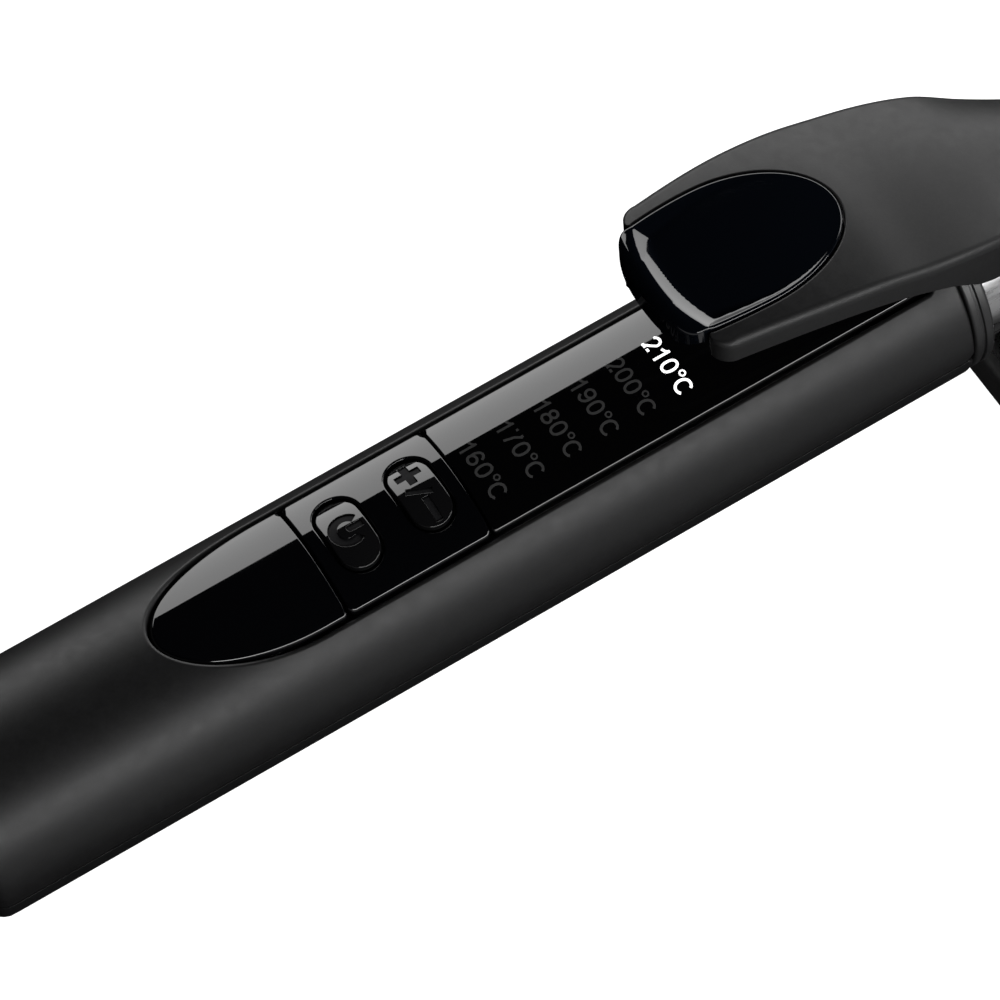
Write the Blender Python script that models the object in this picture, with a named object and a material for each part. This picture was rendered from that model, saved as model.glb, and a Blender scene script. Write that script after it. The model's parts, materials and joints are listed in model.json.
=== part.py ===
"""A curling iron with a sprung clamp, a touch panel of keys and temperature labels, and a fold-out stand.

Every length is in millimetres in the iron's own frame: +X runs along the axis from the cord end to the tip,
+Z is the panel's normal, and the handle starts at X = 0. The whole iron hangs from one empty that tips its
nose up, so that the tail and the stand's foot rest on Z = 0.
"""

import math

import bmesh
import bpy
from mathutils import Matrix, Vector

MM = 0.001
GAP = 0.3  # between pieces that touch

# Pose on the table
NOSE_UP = math.radians(5.0)

# Handle
HANDLE_R = 16.5
HANDLE_END = 164.0
WALL = 2.2
INNER_R = HANDLE_R - WALL
TAIL_FILLET = 3.0
PARTING_Z = -1.2

# Panel on top of the handle
PANEL_HALF = 10.0
PANEL_EDGE_Z = 13.05
PANEL_CROWN_R = 22.0
PANEL_BOTTOM = 12.3
PANEL_REAR, TRIM_ROUND = 37.0, 22.0
TRIM_END, KEYS_START = 62.55, 63.05
KEYS_END, WINDOW_START = 86.25, 86.6
WINDOW_END = 160.0
POWER_X, ROCKER_X = 68.8, 80.6
KEY_HALF_X, KEY_HALF_Y, KEY_Y = 3.2, 6.1, 0.3
KEY_PLAY = 0.45
KEY_PROUD = 0.5
ROCKER_Z = 13.0
FIRST_LABEL_X, LABEL_PITCH = 89.9, 6.21
LABELS = (160, 170, 180, 190, 200, 210)

# Electronics
BOARD_TOP, BOARD_THICK = 7.8, 1.6

# Barrel
BARREL_R, BARREL_WALL = 12.5, 1.0
BARREL_START, BARREL_END = 161.0, 318.0
COLLAR_START = 160.7
TIP_END = 342.0
SLEEVE_START, SLEEVE_END = 168.1, 186.0
SLEEVE_IN, SLEEVE_OUT = BARREL_R + GAP, 13.8
EAR_IN, EAR_OUT = 9.4, 10.9

# Clamp
PIVOT = Vector((172.0, 0.0, 17.0))
PIN_R, PIN_HOLE_R = 1.2, 1.5
LEVER_REAR = 122.5
LEVER_WALL, LEVER_SIDE = 2.6, 2.0
LEVER_CORNER_R = 3.2
INSERT_REAR, INSERT_FRONT = 117.9, 150.4
INSERT_WIDEST, INSERT_HALF, INSERT_REAR_HALF = 133.0, 10.8, 10.1
INSERT_STEP = 122.2
LIP_BOTTOM = 29.2
RIVET_X, RIVET_Y, RIVET_R = 191.0, 4.0, 1.0
PLATE_IN, PLATE_OUT = BARREL_R + GAP, 13.6
PLATE_START, PLATE_END = 187.0, 316.0

# Stand
STAND_HINGE = Vector((180.0, 0.0, -15.8))
FOOT_X = 175.0
LEG_HALF, LEG_THICK = 16.0, 1.6
FOOT_HALF, FOOT_HALF_THICK, FOOT_TALL = 17.2, 2.6, 4.6

# Cord inlet
GLAND_OUT = 10.0
GLAND_R = 9.5
CABLE_HOLE_R = 4.3

# Casing screws
SCREW_XS, SCREW_Y = (30.0, 154.5), 9.0
BOSS_R, HEAD_R, SHANK_R = 2.8, 2.0, 1.1

COLOURS = {
    "soft_black": ((0.016, 0.016, 0.017), 0.55, 0.0),
    "gloss_black": ((0.004, 0.004, 0.005), 0.06, 0.0),
    "label_glass": ((0.003, 0.003, 0.004), 0.04, 0.0),
    "white_plastic": ((0.75, 0.75, 0.72), 0.5, 0.0),
    "board_green": ((0.02, 0.12, 0.05), 0.5, 0.0),
    "chip_black": ((0.02, 0.02, 0.02), 0.4, 0.0),
    "led_white": ((0.85, 0.85, 0.8), 0.3, 0.0),
    "film_yellow": ((0.5, 0.3, 0.05), 0.4, 0.0),
    "ceramic_grey": ((0.25, 0.24, 0.23), 0.6, 0.0),
    "wire_red": ((0.4, 0.02, 0.02), 0.5, 0.0),
    "wire_white": ((0.7, 0.7, 0.7), 0.5, 0.0),
    "brass": ((0.6, 0.42, 0.15), 0.3, 1.0),
    "steel": ((0.5, 0.5, 0.5), 0.3, 1.0),
    "aluminium": ((0.7, 0.7, 0.7), 0.4, 1.0),
    "black_coating": ((0.01, 0.01, 0.011), 0.22, 0.0),
    "heat_black": ((0.012, 0.012, 0.012), 0.5, 0.0),
    "silicone": ((0.02, 0.02, 0.02), 0.7, 0.0),
}


# ---- frames -------------------------------------------------------------------------------------------


def clear_scene():
    for obj in list(bpy.data.objects):
        bpy.data.objects.remove(obj, do_unlink=True)


def add_empty(name, parent, position=Vector((0, 0, 0)), turn_y=0.0):
    empty = bpy.data.objects.new(name, None)
    bpy.context.collection.objects.link(empty)
    empty.parent = parent
    empty.location = position * MM
    empty.rotation_euler = (0.0, turn_y, 0.0)
    return empty


def table_height():
    """Height of the iron's axis origin over the table, with the tail's rounded edge touching it."""
    rim = HANDLE_R - TAIL_FILLET
    return rim * math.cos(NOSE_UP) + TAIL_FILLET - TAIL_FILLET * math.sin(NOSE_UP)


def centring_x():
    """World X that brings the middle of the tail-to-tip length to 0."""
    tail = -GLAND_OUT * math.cos(NOSE_UP) - 8.0 * math.sin(NOSE_UP)
    tip = TIP_END * math.cos(NOSE_UP)
    return -(tail + tip) / 2


def material(name):
    found = bpy.data.materials.get(name)
    if found:
        return found
    colour, roughness, metallic = COLOURS[name]
    made = bpy.data.materials.new(name)
    made.use_nodes = True
    shader = made.node_tree.nodes["Principled BSDF"]
    shader.inputs["Base Color"].default_value = (*colour, 1.0)
    shader.inputs["Roughness"].default_value = roughness
    shader.inputs["Metallic"].default_value = metallic
    return made


# ---- shapes: each returns a bmesh in the iron's frame, in millimetres -------------------------------------


def finished(bm):
    bmesh.ops.remove_doubles(bm, verts=bm.verts, dist=1e-4)
    bmesh.ops.recalc_face_normals(bm, faces=bm.faces)
    return bm


def turned(profile, segments=32):
    """A closed (x, radius) outline spun round the X axis."""
    bm = bmesh.new()
    verts = [bm.verts.new((x, 0.0, r)) for x, r in profile]
    edges = [bm.edges.new((a, b)) for a, b in zip(verts, verts[1:] + verts[:1])]
    bmesh.ops.spin(bm, geom=verts + edges, cent=(0, 0, 0), axis=(1, 0, 0), angle=math.tau, steps=segments)
    bmesh.ops.remove_doubles(bm, verts=bm.verts, dist=1e-4)
    bmesh.ops.dissolve_degenerate(bm, edges=bm.edges, dist=1e-4)
    return finished(bm)


def extruded(outline, along):
    """A flat outline of 3-D points pulled along a vector."""
    bm = bmesh.new()
    face = bm.faces.new([bm.verts.new(p) for p in outline])
    pulled = bmesh.ops.extrude_face_region(bm, geom=[face])["geom"]
    moved = [item for item in pulled if isinstance(item, bmesh.types.BMVert)]
    bmesh.ops.translate(bm, verts=moved, vec=along)
    return finished(bm)


def lofted(rings):
    """Rings of equal length joined one to the next, with flat ends."""
    bm = bmesh.new()
    loops = [[bm.verts.new(p) for p in ring] for ring in rings]
    for a, b in zip(loops, loops[1:]):
        for i in range(len(a)):
            j = (i + 1) % len(a)
            bm.faces.new((a[i], a[j], b[j], b[i]))
    bm.faces.new(loops[0])
    bm.faces.new(loops[-1])
    return finished(bm)


def box(low, high):
    (x0, y0, z0), (x1, y1, z1) = low, high
    outline = [(x0, y0, z0), (x1, y0, z0), (x1, y1, z0), (x0, y1, z0)]
    return extruded(outline, (0, 0, z1 - z0))


def round_bar(start, end, radius, segments=20):
    """A cylinder between two points."""
    start, end = Vector(start), Vector(end)
    bm = bmesh.new()
    turn = (end - start).to_track_quat("Z", "Y").to_matrix().to_4x4()
    place = Matrix.Translation((start + end) / 2) @ turn
    bmesh.ops.create_cone(bm, cap_ends=True, segments=segments, radius1=radius, radius2=radius,
                          depth=(end - start).length, matrix=place)
    return finished(bm)


def arc(centre, radius, start_deg, end_deg, steps):
    """Points of an arc in a plane, from one angle to another."""
    points = []
    for i in range(steps + 1):
        a = math.radians(start_deg + (end_deg - start_deg) * i / steps)
        points.append((centre[0] + radius * math.cos(a), centre[1] + radius * math.sin(a)))
    return points


def lug_outline(centre, radius, base_z, half_base):
    """Outline in X and Z of an ear: a flat base and a round end about the hinge, up or down."""
    x, z = centre
    if base_z < z:
        return arc((x, z), radius, 0, 180, 12) + [(x - half_base, base_z), (x + half_base, base_z)]
    return arc((x, z), radius, 180, 360, 12) + [(x + half_base, base_z), (x - half_base, base_z)]


def slab(stations, half_width, top, bottom, across=10, middle=0.0):
    """A plate whose half-width, top and bottom are functions of x, and of x and y."""
    rings = []
    for x in stations:
        ys = [middle + half_width(x) * (2 * i / across - 1) for i in range(across + 1)]
        upper = [(x, y, top(x, y)) for y in ys]
        lower = [(x, y, bottom(x, y)) for y in reversed(ys)]
        rings.append(upper + lower)
    return lofted(rings)


def blend_table(table):
    """A function that runs straight from each (x, value) pair to the next."""

    def value(x):
        if x <= table[0][0]:
            return table[0][1]
        for (x0, v0), (x1, v1) in zip(table, table[1:]):
            if x <= x1:
                t = (x - x0) / (x1 - x0)
                return v0 + (v1 - v0) * t
        return table[-1][1]

    return value


def rounded_stations(start, end, radius_start, radius_end, steps=6):
    """Stations that bunch up towards round ends."""
    xs = [start + radius_start * (1 - math.cos(math.pi / 2 * i / steps)) for i in range(steps)]
    xs += [start + radius_start, end - radius_end]
    xs += [end - radius_end * (1 - math.cos(math.pi / 2 * i / steps)) for i in reversed(range(steps))]
    return [x for i, x in enumerate(xs) if i == 0 or x - xs[i - 1] > 1e-3]


# ---- objects ----------------------------------------------------------------------------------------------


class Iron:
    """The empties that the pieces hang from, and the making of pieces on them."""

    def __init__(self):
        place = Vector((centring_x(), 0.0, table_height()))
        self.axis = add_empty("iron_axis", None, place, -NOSE_UP)
        self.holders = {"handle": (self.axis, Matrix.Identity(4))}

    def add_joint(self, name, position, turn_y=0.0):
        empty = add_empty(name + "_axis", self.axis, position, turn_y)
        local = Matrix.Translation(position) @ Matrix.Rotation(turn_y, 4, "Y")
        self.holders[name] = (empty, local.inverted())

    def add(self, name, bm, holder, colour, local=False):
        """Makes an object of a bmesh. A local bmesh is already in its holder's frame."""
        parent, to_local = self.holders[holder]
        if not local:
            bmesh.ops.transform(bm, matrix=to_local, verts=bm.verts)
        bmesh.ops.scale(bm, vec=(MM, MM, MM), verts=bm.verts)
        mesh = bpy.data.meshes.new(name)
        bm.to_mesh(mesh)
        bm.free()
        mesh.shade_smooth()
        mesh.set_sharp_from_angle(angle=math.radians(35))
        obj = bpy.data.objects.new(name, mesh)
        bpy.context.collection.objects.link(obj)
        obj.parent = parent
        if colour:
            mesh.materials.append(material(colour))
        return obj

    def combine(self, obj, operation, bm, holder, local=False):
        """A Boolean on an object, whose second shape is kept as a hidden helper."""
        helper = self.add(f"{obj.name}_helper_{len(obj.modifiers)}", bm, holder, None, local)
        helper.hide_render = True
        helper.display_type = "WIRE"
        modifier = obj.modifiers.new(helper.name, "BOOLEAN")
        modifier.operation = operation
        modifier.solver = "EXACT"
        modifier.object = helper

    def cut(self, obj, bm, holder, local=False):
        self.combine(obj, "DIFFERENCE", bm, holder, local)

    def join(self, obj, bm, holder, local=False):
        self.combine(obj, "UNION", bm, holder, local)

    def wire(self, name, points, radius, colour):
        """A round wire through points of the handle's frame."""
        curve = bpy.data.curves.new(name, "CURVE")
        curve.dimensions = "3D"
        curve.bevel_depth = radius * MM
        curve.bevel_resolution = 1
        curve.use_fill_caps = True
        spline = curve.splines.new("POLY")
        spline.points.add(len(points) - 1)
        for point, position in zip(spline.points, points):
            point.co = (*(position * MM), 1.0)
        curve.materials.append(material(colour))
        obj = bpy.data.objects.new(name, curve)
        bpy.context.collection.objects.link(obj)
        obj.parent = self.axis


def smooth_route(route, steps=4):
    """Points of a Catmull-Rom curve through the route."""
    knots = [Vector(p) for p in route]
    knots = [2 * knots[0] - knots[1]] + knots + [2 * knots[-1] - knots[-2]]
    points = []
    for a, b, c, d in zip(knots, knots[1:], knots[2:], knots[3:]):
        for i in range(steps):
            t = i / steps
            points.append(0.5 * (2 * b + (c - a) * t + (2 * a - 5 * b + 4 * c - d) * t**2
                                 + (3 * b - a - 3 * c + d) * t**3))
    return points + [knots[-2]]


# ---- handle -----------------------------------------------------------------------------------------------


def crown(y):
    """Height of the panel's crowned face."""
    rise = math.sqrt(PANEL_CROWN_R**2 - PANEL_HALF**2)
    return PANEL_EDGE_Z + math.sqrt(PANEL_CROWN_R**2 - y**2) - rise


def panel_half_width(x):
    """Half-width of the panel, which closes in a half-ellipse at the rear."""
    along = min(1.0, (x - PANEL_REAR) / TRIM_ROUND)
    return max(0.6, PANEL_HALF * math.sqrt(max(0.0, 1 - (1 - along) ** 2)))


def panel_piece(stations):
    """One length of the crowned panel."""
    return slab(stations, panel_half_width, lambda x, y: crown(y), lambda x, y: PANEL_BOTTOM)


def casing_shell():
    corner = arc((TAIL_FILLET, HANDLE_R - TAIL_FILLET), TAIL_FILLET, 180, 90, 5)
    profile = [(0.0, 7.5)] + corner
    profile += [(HANDLE_END - 0.8, HANDLE_R), (HANDLE_END, HANDLE_R - 0.6), (HANDLE_END, INNER_R)]
    profile += [(TAIL_FILLET, INNER_R), (TAIL_FILLET, 7.5)]
    return turned(profile, 48)


def make_casings(iron):
    reach = HANDLE_R + 5
    panel_xs = rounded_stations(PANEL_REAR, WINDOW_END, TRIM_ROUND, 0.5, 8)
    pocket_xs = [x - GAP for x in panel_xs[:-2]] + [WINDOW_END + GAP]
    upper = iron.add("upper_casing", casing_shell(), "handle", "soft_black")
    iron.cut(upper, box((-5, -reach, -reach), (HANDLE_END + 5, reach, PARTING_Z)), "handle")
    iron.cut(upper, slab(pocket_xs, lambda x: panel_half_width(x + GAP) + GAP, lambda x, y: 20.0,
                         lambda x, y: PANEL_BOTTOM - GAP, 2), "handle")
    iron.cut(upper, box((PANEL_REAR + 12, -8.3, 5.0), (WINDOW_END - 1.5, 8.3, 20.0)), "handle")
    lower = iron.add("lower_casing", casing_shell(), "handle", "soft_black")
    iron.cut(lower, box((-5, -reach, PARTING_Z - GAP), (HANDLE_END + 5, reach, reach)), "handle")
    for x in SCREW_XS:
        for y in (-SCREW_Y, SCREW_Y):
            iron.join(upper, round_bar((x, y, PARTING_Z), (x, y, 10.5), BOSS_R, 16), "handle")
            iron.join(lower, round_bar((x, y, -10.5), (x, y, PARTING_Z - GAP), BOSS_R, 16), "handle")
    for x in SCREW_XS:
        for y in (-SCREW_Y, SCREW_Y):
            iron.cut(upper, round_bar((x, y, -3.0), (x, y, 4.5), SHANK_R + GAP, 12), "handle")
            iron.cut(lower, round_bar((x, y, -12.0), (x, y, 0.0), SHANK_R + GAP, 12), "handle")
            iron.cut(lower, round_bar((x, y, -20.0), (x, y, -9.5), HEAD_R + GAP, 16), "handle")


def make_casing_screws(iron):
    corners = [(x, y) for x in SCREW_XS for y in (-SCREW_Y, SCREW_Y)]
    for number, (x, y) in enumerate(corners, 1):
        screw = iron.add(f"casing_screw_{number}", round_bar((x, y, -11.0), (x, y, -9.8), HEAD_R, 16), "handle",
                         "steel")
        iron.join(screw, round_bar((x, y, -10.4), (x, y, 4.0), SHANK_R, 12), "handle")


def make_panel(iron):
    xs = [x for x in rounded_stations(PANEL_REAR, WINDOW_END, TRIM_ROUND, 0.5, 10) if x < TRIM_END] + [TRIM_END]
    iron.add("rear_trim_panel", panel_piece(xs), "handle", "gloss_black")
    keys = iron.add("key_panel", panel_piece([KEYS_START, KEYS_END]), "handle", "gloss_black")
    for x in (POWER_X, ROCKER_X):
        iron.cut(keys, pill(x, KEY_PLAY, lambda u, y: 20.0, lambda u, y: 5.0), "handle")
    iron.add("display_window", panel_piece([WINDOW_START, WINDOW_END]), "handle", "label_glass")


def pill(x, grow, top, bottom):
    """A key's outline, round at both ends across the handle, grown by a margin."""
    half_x, half_y = KEY_HALF_X + grow, KEY_HALF_Y + grow
    straight = half_y - half_x
    stations = [x - half_x * math.cos(math.pi * i / 12) for i in range(13)]

    def half_width(u):
        return straight + math.sqrt(max(0.0, half_x**2 - (u - x) ** 2))

    return slab(stations, half_width, top, bottom, 8, KEY_Y)


def make_key(iron, name, holder, x):
    key = iron.add(name, pill(x, 0.0, lambda u, y: crown(y) + KEY_PROUD, lambda u, y: 11.2), holder,
                   "gloss_black")
    iron.join(key, pill(x, 0.9, lambda u, y: 11.6, lambda u, y: 10.8), holder)


def make_electronics(iron):
    under = BOARD_TOP - BOARD_THICK - GAP
    over = BOARD_TOP + GAP
    iron.add("circuit_board", box((62, -10.4, BOARD_TOP - BOARD_THICK), (150, 10.4, BOARD_TOP)), "handle",
             "board_green")
    iron.add("power_switch", box((POWER_X - 3, -3, over), (POWER_X + 3, 3, over + 1.6)), "handle", "chip_black")
    for name, y in (("plus_switch", 4.2), ("minus_switch", -4.2)):
        iron.add(name, box((ROCKER_X - 2, y - 1.5, over), (ROCKER_X + 2, y + 1.5, over + 1.6)), "handle",
                 "chip_black")
    guide = iron.add("light_guide", box((87.5, -7.0, 9.3), (148, 7.0, 12.0)), "handle", "white_plastic")
    for number, label in enumerate(LABELS):
        x = FIRST_LABEL_X + number * LABEL_PITCH
        iron.add(f"led_{label}", box((x - 0.8, -1.5, over), (x + 0.8, 1.5, over + 0.8)), "handle", "led_white")
        iron.cut(guide, box((x - 1.8, -6.0, 8.0), (x + 1.8, 6.0, 10.8)), "handle")
    iron.add("controller_chip", box((68, -4, under - 1.8), (82, 4, under)), "handle", "chip_black")
    iron.add("capacitor", box((94, -6, under - 9), (111, 6, under)), "handle", "film_yellow")
    iron.add("triac", box((116, -5, under - 4.4), (126, 5, under)), "handle", "chip_black")
    iron.add("thermal_fuse", round_bar((130, 0, under - 2.2), (142, 0, under - 2.2), 2.0, 16), "handle",
             "white_plastic")
    live = [(17.6, 0, 8.5), (30, 2, 7.5), (46, 5, 6.4), (61.4, 6, 7.0)]
    neutral = [(17.6, 0, -8.5), (30, -2, -6), (46, -5, 2), (61.4, -6, 7.0)]
    iron.wire("live_wire", smooth_route(live), 0.8, "wire_red")
    iron.wire("neutral_wire", smooth_route(neutral), 0.8, "wire_white")
    for number, y in ((1, 4.0), (2, -4.0)):
        route = [(150.6, y, 7.0), (158, y, 5.5), (172, y, 2.5), (188, y, 0.3), (199.5, y, 0.0)]
        iron.wire(f"heater_lead_{number}", smooth_route(route), 0.6, "wire_white")


def make_cord_inlet(iron):
    hole, out = CABLE_HOLE_R, -GLAND_OUT
    rim = [(out, hole), (out, 7.0)] + [(out + 1.0, 8.0), (out + 4.0, 8.8), (-1.4, GLAND_R), (-GAP, 9.0)]
    neck = [(-GAP, 7.2), (TAIL_FILLET + GAP, 7.2), (TAIL_FILLET + GAP, 9.2), (5.4, 9.2)]
    spigot = [(5.4, 6.0), (13.4, 6.0), (13.4, hole)]
    iron.add("swivel_gland", turned(rim + neck + spigot, 24), "cord_swivel", "heat_black")
    for name, x in (("slip_ring_live", 7.4), ("slip_ring_neutral", 10.6)):
        ring = [(x, 6.3), (x, 7.2), (x + 1.5, 7.2), (x + 1.5, 6.3)]
        iron.add(name, turned(ring, 24), "cord_swivel", "brass")
    iron.add("swivel_socket", turned([(3.4, 9.6), (3.4, 13.9), (14, 13.9), (14, 9.6)], 24), "handle",
             "white_plastic")
    for name, x, side in (("brush_live", 7.5, 1), ("brush_neutral", 10.7, -1)):
        outline = [(x, 7.5), (x + 1.3, 7.5), (x + 1.3, 8.1), (17.2, 8.1), (17.2, 8.9), (x, 8.9)]
        points = [(px, -1.5, side * pz) for px, pz in outline]
        iron.add(name, extruded(points, (0, 3.0, 0)), "handle", "brass")


# ---- barrel -----------------------------------------------------------------------------------------------


def make_barrel(iron):
    inner = BARREL_R - BARREL_WALL
    iron.add("barrel", turned([(BARREL_START, inner), (BARREL_START, BARREL_R), (BARREL_END, BARREL_R),
                               (BARREL_END, inner)], 48), "handle", "black_coating")
    bore = BARREL_R + GAP
    spigot_r = INNER_R - GAP
    iron.add("front_collar", turned([(COLLAR_START, bore), (COLLAR_START, spigot_r), (HANDLE_END + GAP, spigot_r),
                                     (HANDLE_END + GAP, 15.9), (HANDLE_END + 0.9, 16.3), (167.0, 16.3),
                                     (167.8, 15.6), (167.8, bore)], 36), "handle", "heat_black")
    make_bracket(iron)
    iron.add("tip_insulator", turned([(312, 1.5), (312, 11.2), (317.7, 11.2), (317.7, 1.5)], 24), "handle",
             "white_plastic")
    nose = [(TIP_END - 12 + 12 * math.sin(a), 12.4 * math.cos(a) ** 0.7)
            for a in (math.radians(15 * k) for k in range(6))]
    cap = [(BARREL_END + GAP, 1.5), (BARREL_END + GAP, 12.4)] + nose + [(TIP_END, 0.0), (330.0, 0.0), (330.0, 1.5)]
    iron.add("cool_tip", turned(cap, 32), "handle", "heat_black")
    screw = [(309.6, 0), (309.6, 3.0), (311.7, 3.0), (311.7, 1.2), (328.5, 1.2), (328.5, 0)]
    iron.add("tip_screw", turned(screw, 16), "handle", "steel")


def make_bracket(iron):
    bracket = iron.add("barrel_bracket", turned([(SLEEVE_START, SLEEVE_IN), (SLEEVE_START, SLEEVE_OUT),
                                                 (SLEEVE_END, SLEEVE_OUT), (SLEEVE_END, SLEEVE_IN)], 36),
                       "handle", "steel")
    hinges = (((PIVOT.x, PIVOT.z), 3.0, 6.5, 3.8), ((STAND_HINGE.x, STAND_HINGE.z), 2.6, -6.5, 4.0))
    for centre, radius, base_z, half_base in hinges:
        outline = lug_outline(centre, radius, base_z, half_base)
        for y in (EAR_IN, -EAR_OUT):
            points = [(x, y, z) for x, z in outline]
            iron.join(bracket, extruded(points, (0, EAR_OUT - EAR_IN, 0)), "handle")
    iron.cut(bracket, round_bar((150, 0, 0), (200, 0, 0), SLEEVE_IN, 36), "handle")
    for hinge in (PIVOT, STAND_HINGE):
        iron.cut(bracket, round_bar((hinge.x, -20, hinge.z), (hinge.x, 20, hinge.z), PIN_HOLE_R), "handle")


def make_heater(iron):
    start, end, flat, radius = 196.0, 290.0, 2.2, 11.1
    reach = math.degrees(math.asin(flat / radius))
    for name, turn in (("heater_carrier_upper", 0), ("heater_carrier_lower", 180)):
        outline = arc((0, 0), radius, reach + turn, 180 - reach + turn, 16)
        iron.add(name, extruded([(start, y, z) for y, z in outline], (end - start, 0, 0)), "handle", "aluminium")
    sleeve = iron.add("mica_sleeve", box((start, -9.0, -1.9), (end, 9.0, 1.9)), "handle", "film_yellow")
    iron.cut(sleeve, box((start - 1, -8.5, -1.6), (end + 1, 8.5, 1.6)), "handle")
    for name, x in (("ptc_stone_rear", 200.0), ("ptc_stone_front", 245.0)):
        iron.add(name, box((x, -8.0, -1.3), (x + 40, 8.0, 1.3)), "handle", "ceramic_grey")
    iron.add("thermistor", round_bar((186, 0, -5), (194, 0, -5), 1.4, 12), "handle", "ceramic_grey")


# ---- clamp ------------------------------------------------------------------------------------------------

lever_top = blend_table([(117.0, 35.9), (128.0, 35.8), (136.0, 35.2), (143.0, 34.1), (150.0, 32.4), (157.0, 29.9),
                         (165.0, 27.2), (172.0, 24.6), (180.0, 21.2), (187.0, 18.3), (194.0, 16.2)])
lever_drop = blend_table([(117.0, 1.6), (150.0, 1.8), (172.0, 2.1), (180.0, 3.8), (194.0, 5.6)])
lever_half = blend_table([(122.5, 13.5), (138.0, 15.2), (150.0, 15.7), (162.0, 15.5), (172.0, 14.4), (182.0, 12.0),
                          (194.0, 9.0)])
lever_skirt = blend_table([(122.5, 30.2), (138.0, 28.8), (150.0, 25.6), (160.0, 20.6), (166.0, 15.8), (172.0, 13.6),
                           (178.0, 12.6), (194.0, 9.0)])


def lever_face(x, y):
    """Height of the lever's crowned top."""
    return lever_top(x) - lever_drop(x) * (y / lever_half(x)) ** 2


def lever_rings(stations, inset, wall, floor, corner=1.6, across=8):
    """Cross-sections of the lever with rounded shoulders, drawn in by an inset."""
    rings = []
    for x in stations:
        half = lever_half(x) - inset - rear_corner(x, inset)
        flat = half - corner
        top = [(x, y, lever_face(x, y) - wall) for y in (flat * (2 * i / across - 1) for i in range(across + 1))]
        edge = lever_face(x, flat) - wall - corner
        shoulder = arc((flat, edge), corner, 90, 0, 4)[1:]
        right = [(x, y, z) for y, z in shoulder]
        left = [(x, -y, z) for y, z in reversed(shoulder)]
        bottom = [(x, half, floor(x)), (x, -half, floor(x))]
        rings.append(top + right + bottom + left)
    return rings


def rear_corner(x, inset):
    """How much the rear corners draw in, in plan."""
    into = LEVER_CORNER_R - (x - LEVER_REAR - inset)
    if into <= 0:
        return 0.0
    return LEVER_CORNER_R - math.sqrt(max(0.0, LEVER_CORNER_R**2 - min(into, LEVER_CORNER_R) ** 2))


def make_lever(iron):
    xs = [LEVER_REAR + d for d in (0.0, 0.2, 0.7, 1.5, 2.4, 3.2)]
    xs += [128, 132, 136, 140, 145, 150, 155, 160, 165, 169, 172, 176, 180, 184, 188, 191, 194]
    lever = iron.add("lever_body", lofted(lever_rings(xs, 0.0, 0.0, lever_skirt)), "clamp", "soft_black")
    hollow_xs = [LEVER_REAR + LEVER_SIDE + d for d in (0.0, 0.7, 1.5, 3.2)]
    hollow_xs += [132, 136, 140, 145, 150, 155, 160, 165, 169, 172, 176, 180.5]
    hollow = lofted(lever_rings(hollow_xs, LEVER_SIDE, LEVER_WALL, lambda x: 5.0, 1.2))
    iron.cut(lever, hollow, "clamp")
    iron.cut(lever, round_bar((150.0, 0, 0), (PLATE_START - GAP, 0, 0), SLEEVE_OUT + GAP, 40), "clamp")
    iron.cut(lever, round_bar((PLATE_START - 0.5, 0, 0), (200.0, 0, 0), PLATE_OUT + GAP, 40), "clamp")
    iron.cut(lever, round_bar((PIVOT.x, -20, PIVOT.z), (PIVOT.x, 20, PIVOT.z), PIN_HOLE_R), "clamp")
    pocket_xs = [LEVER_REAR - 2.0, 124.0] + insert_stations(124.6, GAP)
    pocket = slab(pocket_xs, lambda x: insert_half_width(x, GAP), lambda x, y: 40.0,
                  lambda x, y: lever_face(x, y) - 1.6)
    iron.cut(lever, pocket, "clamp")
    for y in (-RIVET_Y, RIVET_Y):
        iron.cut(lever, round_bar((RIVET_X, y, 8), (RIVET_X, y, 24), RIVET_R + GAP, 16), "clamp")


def insert_half_width(x, grow=0.0):
    """Half-width of the thumb insert: a bowed rear edge, a slight belly, and a half-ellipse in front."""
    if x > INSERT_WIDEST:
        along = (x - INSERT_WIDEST) / (INSERT_FRONT + grow - INSERT_WIDEST)
        return max(0.5, (INSERT_HALF + grow) * math.sqrt(max(0.0, 1 - along**2)))
    side = INSERT_HALF - 0.7 * ((INSERT_WIDEST - x) / (INSERT_WIDEST - INSERT_STEP)) ** 2 + grow
    bow = INSERT_REAR_HALF * math.sqrt(max(0.0, 1 - (1 - min(1.0, (x - INSERT_REAR) / (INSERT_STEP - INSERT_REAR))) ** 2))
    return max(0.8, min(side, bow + grow) if x < INSERT_STEP else side)


def insert_stations(start, grow=0.0):
    """Stations from a start to the round front."""
    front = INSERT_FRONT + grow
    reach = front - INSERT_WIDEST
    xs = [x for x in (128.5, INSERT_WIDEST) if x > start]
    return [start] + xs + [INSERT_WIDEST + reach * math.sin(math.radians(a)) for a in range(15, 91, 15)]


def insert_top(x, y):
    """The insert's face: a rim, a dish inside it, and a round rear lip."""
    half = insert_half_width(x)
    across = min(1.0, abs(y) / half)
    front = max(0.0, (x - INSERT_WIDEST) / (INSERT_FRONT - INSERT_WIDEST))
    rear = max(0.0, 1 - (x - INSERT_STEP + 2.0) / 8.0)
    rim = max(across**2, front**2, min(1.0, rear) ** 2)
    z = lever_top(x) + 0.5 - 1.3 * (1 - rim) - lever_drop(x) * 0.5 * across**2
    if x < INSERT_STEP - 2.0:
        back = (INSERT_STEP - 2.0 - x) / (INSERT_STEP - 2.0 - INSERT_REAR)
        z -= 3.0 * (1 - math.sqrt(max(0.0, 1 - back**2)))
    return z


def insert_bottom(x, y):
    if x > INSERT_STEP - 0.05:
        return lever_face(x, y) - 1.3
    return LIP_BOTTOM + 1.6 * ((INSERT_STEP - x) / (INSERT_STEP - INSERT_REAR)) ** 2


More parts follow.
